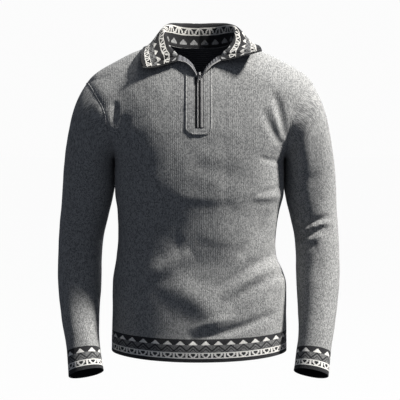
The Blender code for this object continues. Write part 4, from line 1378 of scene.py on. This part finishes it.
def lay_chain():
    """The closed part of the zip: its tape on the chest, and two rows of meshed teeth."""
    low, top = ZIP_END_Z + 0.001, FRONT_INNER[-1].z + 0.001
    count = 40
    levels = [low + (top - low) * i / count for i in range(count + 1)]
    left, right = PLACKET_CHANNEL[0] + 0.0002, PLACKET_CHANNEL[1] - 0.0002
    spots = [(left + (right - left) * j / 10, z, 0.0004) for z in levels for j in range(11)]
    points = np.array(on_chest(spots)).reshape(count + 1, 11, 3)
    places = np.array([(x, z) for x, z, _ in spots]).reshape(count + 1, 11, 2)
    tape = join_pieces("tape_closed", [lay_grid(points, places)])
    tape.data.materials.append(twill_tape())
    add_modifier(tape, "SOLIDIFY", thickness=0.0006, offset=1.0)
    settle_on(tape, "zip_chain")
    steps = round((top - low) / TOOTH_STEP)
    frames = []
    for i in range(steps):
        for side in (-1, 1):
            z = low + TOOTH_STEP * (i + (0.25 if side < 0 else 0.75))
            out = chest_out(0.0, z)
            run = out.cross(Vector((1, 0, 0))).normalized()
            middle = on_chest([(-0.0001 + side * 0.0006, z, 0.0016)])[0]
            frames.append((middle, Vector((1, 0, 0)), run, out))
    teeth = copy_along("teeth_closed", model_tooth(), frames)
    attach(teeth, BODY)
    return tape, teeth


PLACKET_THICK = 0.0009
PLACKET_SEAM = 0.0046  # from the placket's edge to its sewn line
STRIP_COLUMNS = 16
CHANNEL_COLUMNS = 6


PLACKET_ROWS = 40


def placket_rows():
    """Rows of (x, z) down the placket; the middle columns lie in the zip's channel."""
    left, right = PLACKET_MIDDLE - PLACKET_HALF, PLACKET_MIDDLE + PLACKET_HALF
    spans = (
        (left, PLACKET_CHANNEL[0], STRIP_COLUMNS),
        (PLACKET_CHANNEL[0], PLACKET_CHANNEL[1], CHANNEL_COLUMNS),
        (PLACKET_CHANNEL[1], right, STRIP_COLUMNS),
    )
    columns = [a + (b - a) * i / count for a, b, count in spans for i in range(count)] + [right]
    rows = []
    for i in range(PLACKET_ROWS + 1):
        row = []
        for x in columns:
            outer_z, inner_z = PLACKET_TOP[-1 if x < 0 else 1]
            reach = abs(x - PLACKET_MIDDLE) / PLACKET_HALF
            top = inner_z + (outer_z - inner_z) * max(reach - 0.25, 0.0) / 0.75
            row.append((x, top + (ZIP_END_Z - top) * i / PLACKET_ROWS))
        rows.append(row)
    drop = ZIP_END_Z - PLACKET_END_Z
    for turn in (12, 24, 36, 48, 58, 68, 76, 84):
        angle = math.radians(turn)
        near = math.cos(angle) ** 0.55
        z = ZIP_END_Z - drop * math.sin(angle)
        rows.append([(PLACKET_MIDDLE + (x - PLACKET_MIDDLE) * near, z) for x in columns])
    return rows


def placket_height(x, z):
    """How far the placket's face stands off the chest: rounded edges, and a sewn line in them."""
    below = max(ZIP_END_Z - z, 0.0) / (ZIP_END_Z - PLACKET_END_Z)
    reach = PLACKET_HALF * math.sqrt(max(1.0 - below**2, 0.0)) ** 1.1
    inside = reach - abs(x - PLACKET_MIDDLE)
    inside = min(inside, (z - PLACKET_END_Z) * 1.0 + 0.0004)
    share = min(max(inside, 0.0) / 0.0028, 1.0)
    edge = math.sqrt(1.0 - (1.0 - share) ** 2)
    sewn = 0.0007 * math.exp(-(((inside - PLACKET_SEAM) / 0.0009) ** 2))
    roll = 0.0005 * math.exp(-(((inside - 0.0024) / 0.0014) ** 2))
    lift = 0.0007 * smooth_step(0.55, 1.0, below)
    return ON_CLOTH + 0.0004 + PLACKET_THICK * edge - sewn + roll + lift


def lay_placket():
    rows = placket_rows()
    spots = [(x, z, placket_height(x, z)) for row in rows for x, z in row]
    shape = (len(rows), len(rows[0]))
    points = np.array(on_chest(spots)).reshape(*shape, 3)
    places = np.array([(x, z) for x, z, _ in spots]).reshape(*shape, 2)
    grid = lay_grid(points[::-1], places[::-1])
    pick(grid)
    bpy.ops.object.mode_set(mode="EDIT")
    bpy.ops.mesh.select_mode(type="FACE")
    bpy.ops.mesh.select_all(action="DESELECT")
    bpy.ops.object.mode_set(mode="OBJECT")
    for face in grid.data.polygons:
        x, _, z = face.center
        across = PLACKET_CHANNEL[0] < x < PLACKET_CHANNEL[1]
        face.select = across and z > ZIP_END_Z - 0.0004
    bpy.ops.object.mode_set(mode="EDIT")
    bpy.ops.mesh.delete(type="FACE")
    bpy.ops.object.mode_set(mode="OBJECT")
    piece = join_pieces("placket_strips", [grid])
    piece.data.materials.append(melange_knit())
    add_modifier(piece, "SOLIDIFY", thickness=0.0016, offset=-1.0)
    pick(piece)
    bpy.ops.object.shade_smooth_by_angle(angle=math.radians(60))
    settle_on(piece, "placket")
    return piece


def slider_frame():
    """The slider's middle on the chest, and the ways across, up and out of it."""
    out = chest_out(0.0, ZIP_TOP_Z)
    across = Vector((1, 0, 0))
    return off_front(0.0, ZIP_TOP_Z, 0.0), across, out.cross(across).normalized(), out


def place_metal(name, items, node, body, material, middle):
    """Joins metal parts that were modelled flat, and sets them on the chest's slope."""
    pick(*items)
    if len(items) > 1:
        bpy.ops.object.join()
    piece = bpy.context.active_object
    _, across, up, out = slider_frame()
    turn = Matrix((across, up, out)).transposed().to_4x4()
    piece.data.transform(Matrix.Translation(middle) @ turn)
    piece.name = piece.data.name = name
    piece.data.materials.clear()
    piece.data.materials.append(material)
    bpy.ops.object.shade_smooth_by_angle(angle=math.radians(35))
    settle_on(piece, node, body)
    return piece


def model_slider(material):
    """Two plates, narrower below, on a bevelled post, and a bail over the upper plate."""
    low, high = SLIDER_BASE, SLIDER_BASE + SLIDER_BODY
    plates = []
    for level in (low + 0.0005, high - 0.0005):
        plate = add_block((0.0076, 0.0114, 0.0010), (0, 0, level))
        for vertex in plate.data.vertices:
            if vertex.co.y < 0:
                vertex.co.x *= 0.72
        add_modifier(plate, "BEVEL", width=0.0004, segments=3, limit_method="ANGLE")
        plates.append(plate)
    post = add_block((0.0024, 0.0044, SLIDER_BODY - 0.0012), (0, 0.0024, (low + high) / 2), 0.0004)
    bail = add_block((0.0019, 0.0062, 0.0032), (0, 0, high + 0.0015), 0.0007, 3)
    floor = high + BAIL_FLOOR
    cut_with(bail, add_block((0.004, 0.0036, BAIL_HOLE), (0, 0, floor + BAIL_HOLE / 2), 0.0004))
    middle = slider_frame()[0]
    return place_metal("slider", plates + [post, bail], "zip_slider", BODY, material, middle)


PULL_WIDTH, PULL_LENGTH, PULL_BAR = 0.0054, 0.0140, 0.0012


def model_pull(material):
    """A flat tab with rounded corners, a window for the bail and a shallow panel below it."""
    top = PULL_BAR / 2
    middle = (0, top - (PULL_LENGTH + top) / 2, 0)
    tab = add_block((PULL_WIDTH, PULL_LENGTH + top, PULL_BAR), middle)
    for vertex in tab.data.vertices:
        if vertex.co.y < -PULL_LENGTH / 2:
            vertex.co.x *= 0.84
    pick(tab)
    bpy.ops.object.mode_set(mode="EDIT")
    bpy.ops.mesh.select_mode(type="EDGE")
    bpy.ops.mesh.select_all(action="DESELECT")
    bpy.ops.object.mode_set(mode="OBJECT")
    for edge in tab.data.edges:
        a, b = (tab.data.vertices[n].co for n in edge.vertices)
        edge.select = abs(a.z - b.z) > PULL_BAR / 2 and a.y < 0
    bpy.ops.object.mode_set(mode="EDIT")
    bpy.ops.mesh.bevel(offset=0.0016, segments=6)
    bpy.ops.object.mode_set(mode="OBJECT")
    window = add_block((0.0030, 0.0034, 0.004), (0, -PULL_BAR / 2 - 0.0017, 0), 0.0005, 3)
    cut_with(tab, window)
    for level in (-1, 1):
        panel = add_block((0.0026, 0.0056, 0.0006), (0, -0.0088, level * PULL_BAR / 2), 0.0002, 2)
        cut_with(tab, panel)
    add_modifier(tab, "BEVEL", width=0.00016, segments=2, limit_method="ANGLE")
    origin, _, _, out = slider_frame()
    rise = SLIDER_BASE + SLIDER_BODY + BAIL_FLOOR + BAIL_HOLE / 2
    return place_metal("pull", [tab], "zip_pull", TAB, material, origin + out * rise)


# ---------------------------------------------------------------- settings


class SweaterCloth(bpy.types.PropertyGroup):
    wall: bpy.props.FloatProperty(
        name="Wall", description="Thickness of the knit", default=0.0022, min=0.001, max=0.004,
        subtype="DISTANCE", unit="LENGTH",
    )
    uneven: bpy.props.FloatProperty(
        name="Unevenness", description="How far the cloth wanders from its form", default=0.0009,
        min=0.0, max=0.003, subtype="DISTANCE", unit="LENGTH",
    )
    wale: bpy.props.FloatProperty(
        name="Wale", description="Width of one upright rib of stitches", default=0.0042,
        min=0.001, max=0.01, subtype="DISTANCE", unit="LENGTH",
    )
    course: bpy.props.FloatProperty(
        name="Course", description="Height of one row of stitches", default=0.0026,
        min=0.001, max=0.01, subtype="DISTANCE", unit="LENGTH",
    )
    speck: bpy.props.FloatProperty(
        name="Speck", description="Size of the lighter and darker specks in the yarn",
        default=0.0018, min=0.0005, max=0.02, subtype="DISTANCE", unit="LENGTH",
    )
    light_fibre: bpy.props.FloatVectorProperty(
        name="Light fibre", description="The melange yarn's lighter fibres",
        default=linear("#b6b6b4"), size=4, min=0.0, max=1.0, subtype="COLOR",
    )
    dark_fibre: bpy.props.FloatVectorProperty(
        name="Dark fibre", description="The melange yarn's darker fibres",
        default=linear("#494a4d"), size=4, min=0.0, max=1.0, subtype="COLOR",
    )


class SweaterStage(bpy.types.PropertyGroup):
    distance: bpy.props.FloatProperty(
        name="Camera distance", description="From the camera to the plane of the side seams",
        default=3.2, min=1.0, max=10.0, subtype="DISTANCE", unit="LENGTH",
    )
    height: bpy.props.FloatProperty(
        name="Camera height", description="Height of the camera over the neck's middle",
        default=-0.15, min=-3.0, max=3.0, subtype="DISTANCE", unit="LENGTH",
    )
    tilt: bpy.props.FloatProperty(
        name="Camera tilt", description="How far the camera looks down",
        default=math.radians(3.47), subtype="ANGLE", unit="ROTATION",
    )
    lens: bpy.props.FloatProperty(
        name="Lens", description="Focal length of the camera, in millimetres", default=131.6,
        min=20.0, max=300.0,
    )
    key_power: bpy.props.FloatProperty(
        name="Key light", description="Power of the raking key light", default=1640.0, min=0.0,
        unit="POWER",
    )
    fill: bpy.props.FloatProperty(
        name="Fill", description="Brightness of the room around the sweater", default=0.15,
        min=0.0, max=5.0,
    )


# ---------------------------------------------------------------- operators


class LayPanels(bpy.types.Operator):
    """Lays the front and the back of the body"""

    bl_idname = "sweater.lay_panels"
    bl_label = "Front and back"

    def execute(self, context):
        cloth = [melange_knit(), inner_knit()]
        for name, node in (("front", "front_panel"), ("back", "back_panel")):
            piece = lay_cloth("body_" + name, name, cloth)
            settle_on(piece, node)
        return {"FINISHED"}


class LaySleeves(bpy.types.Operator):
    """Lays both sleeves"""

    bl_idname = "sweater.lay_sleeves"
    bl_label = "Sleeves"

    def execute(self, context):
        for name in ("left", "right"):
            piece = lay_cloth("arm_" + name, "sleeve_" + name, [melange_knit(), inner_knit()])
            settle_on(piece, "sleeve_" + name)
            lay_seam(name)
        return {"FINISHED"}


class LayBorders(bpy.types.Operator):
    """Lays the patterned bands at the hem and the cuffs"""

    bl_idname = "sweater.lay_borders"
    bl_label = "Hem and cuffs"

    def execute(self, context):
        # The same charcoal and off-white yarns as in the collar, left paler here; the collar's darker
        # copies carry painted shade.
        shades = ("#161617", "#38383b"), ("#cccac5", "#f6f4f0")
        border = [border_knit("Stranded wool border", HEM_BANDS, *shades), charcoal_knit()]
        for name in ("front", "back"):
            piece = lay_cloth("border_" + name, "hem_" + name, border)
            settle_on(piece, "hem_band_" + name)
        for name in ("left", "right"):
            piece = lay_cloth("wrist_" + name, "cuff_" + name, border)
            settle_on(piece, "cuff_" + name)
        return {"FINISHED"}


class LayCollar(bpy.types.Operator):
    """Lays the open collar, patterned on the face that it turns out"""

    bl_idname = "sweater.lay_collar"
    bl_label = "Collar"

    def execute(self, context):
        # The same charcoal and off-white yarns as at the hem and cuffs, made darker here: painted shade
        # on the collar.
        shades = ("#0c0c0d", "#262628"), ("#a5a39e", "#dedcd7")
        pattern = border_knit("Stranded wool collar", COLLAR_BANDS, *shades)
        piece = lay_cloth("neck_collar", "collar", [charcoal_knit(), pattern])
        settle_on(piece, "collar")
        return {"FINISHED"}


class FitZip(bpy.types.Operator):
    """Fits the placket, the cords, the tapes with their teeth, the slider and its pull"""

    bl_idname = "sweater.fit_zip"
    bl_label = "Zip and placket"

    def execute(self, context):
        placket = lay_placket()
        lay_chain()
        for side, name in ((1, "left"), (-1, "right")):
            lay_cord(side, name)
            open_tape(side, name)
        metal = plated_zinc()
        model_slider(metal)
        model_pull(metal)
        return {"FINISHED"}


class SetStage(bpy.types.Operator):
    """Sets the pale floor, the soft lights and the camera"""

    bl_idname = "sweater.set_stage"
    bl_label = "Stage"

    def execute(self, context):
        set_room(context.scene.sweater_stage)
        set_camera(context.scene.sweater_stage)
        return {"FINISHED"}


Lamp = namedtuple("Lamp", "name azimuth elevation distance size share colour")
LAMPS = (  # azimuth from the front towards the wearer's left, in degrees; share of the key's power
    Lamp("key", 78, 47, 8.0, 0.9, 1.0, "#fffdf9"),
    Lamp("top", 96, 75, 6.0, 2.0, 0.05, "#ffffff"),
    Lamp("back", 165, 35, 6.0, 3.0, 0.16, "#f6f8ff"),
)
MIDDLE = Vector((0.0, 0.0, -0.33))
FLOOR_Z = -1.5


def add_lamp(lamp, power):
    turn, rise = math.radians(lamp.azimuth), math.radians(lamp.elevation)
    way = Vector((math.sin(turn) * math.cos(rise), -math.cos(turn) * math.cos(rise), math.sin(rise)))
    pick_none()
    bpy.ops.object.light_add(type="AREA", location=MIDDLE + way * lamp.distance)
    light = bpy.context.active_object
    light.name = lamp.name
    light.data.shape = "DISK"
    light.data.size = lamp.size
    light.data.energy = power * lamp.share
    light.data.color = linear(lamp.colour)[:3]
    light.rotation_euler = (-way).to_track_quat("-Z", "Y").to_euler()


def set_room(stage):
    pick_none()
    bpy.ops.mesh.primitive_plane_add(size=80, location=(0, 0, FLOOR_Z))
    floor = bpy.context.active_object
    floor.name = "floor"
    pale, tree, shader = start_material("Pale matt floor", {"Roughness": 1.0})
    shader.inputs["Specular IOR Level"].default_value = 0.0
    shader.inputs["Base Color"].default_value = linear("#1c1c1c")
    shader.inputs["Emission Color"].default_value = linear("#ffffff")
    shader.inputs["Emission Strength"].default_value = 0.965
    floor.data.materials.append(pale)
    floor.visible_diffuse = False
    floor.visible_glossy = False
    for lamp in LAMPS:
        add_lamp(lamp, stage.key_power)
    world = bpy.data.worlds.new("Room")
    bpy.context.scene.world = world
    world.use_nodes = True
    tree = world.node_tree
    tree.nodes.clear()
    seen = put(tree, "LightPath", out=0)
    fill = put(tree, "Background", {0: linear("#dde7fa"), 1: stage.fill})
    white = put(tree, "Background", {0: (1, 1, 1, 1), 1: 0.97})
    put(tree, "OutputWorld", (put(tree, "MixShader", (seen, fill, white)),))
    bpy.context.scene.view_settings.view_transform = "Standard"


def set_camera(stage):
    pick_none()
    place = (0.0014, -stage.distance, stage.height)
    turn = (math.pi / 2 - stage.tilt, 0.0, 0.0)
    bpy.ops.object.camera_add(location=place, rotation=turn)
    camera = bpy.context.active_object
    camera.data.lens = stage.lens
    camera.data.sensor_width = 36
    bpy.context.scene.camera = camera


class SweaterPanel(bpy.types.Panel):
    bl_idname = "VIEW3D_PT_sweater"
    bl_label = "Sweater"
    bl_space_type = "VIEW_3D"
    bl_region_type = "UI"
    bl_category = "Sweater"

    def draw(self, context):
        for settings in (context.scene.sweater_cloth, context.scene.sweater_stage):
            box = self.layout.box()
            for name in settings.__annotations__:
                box.prop(settings, name)
        for operator in OPERATORS:
            self.layout.operator(operator.bl_idname)


OPERATORS = (LayPanels, LaySleeves, LayBorders, LayCollar, FitZip, SetStage)
CLASSES = (SweaterCloth, SweaterStage) + OPERATORS + (SweaterPanel,)


def register():
    for item in CLASSES:
        bpy.utils.register_class(item)
    bpy.types.Scene.sweater_cloth = bpy.props.PointerProperty(type=SweaterCloth)
    bpy.types.Scene.sweater_stage = bpy.props.PointerProperty(type=SweaterStage)


def unregister():
    del bpy.types.Scene.sweater_cloth
    del bpy.types.Scene.sweater_stage
    for item in reversed(CLASSES):
        bpy.utils.unregister_class(item)


def main():
    register()
    bpy.ops.sweater.lay_panels()
    bpy.ops.sweater.lay_sleeves()
    bpy.ops.sweater.lay_borders()
    bpy.ops.sweater.lay_collar()
    bpy.ops.sweater.fit_zip()
    bpy.ops.sweater.set_stage()


if __name__ == "__main__":
    main()
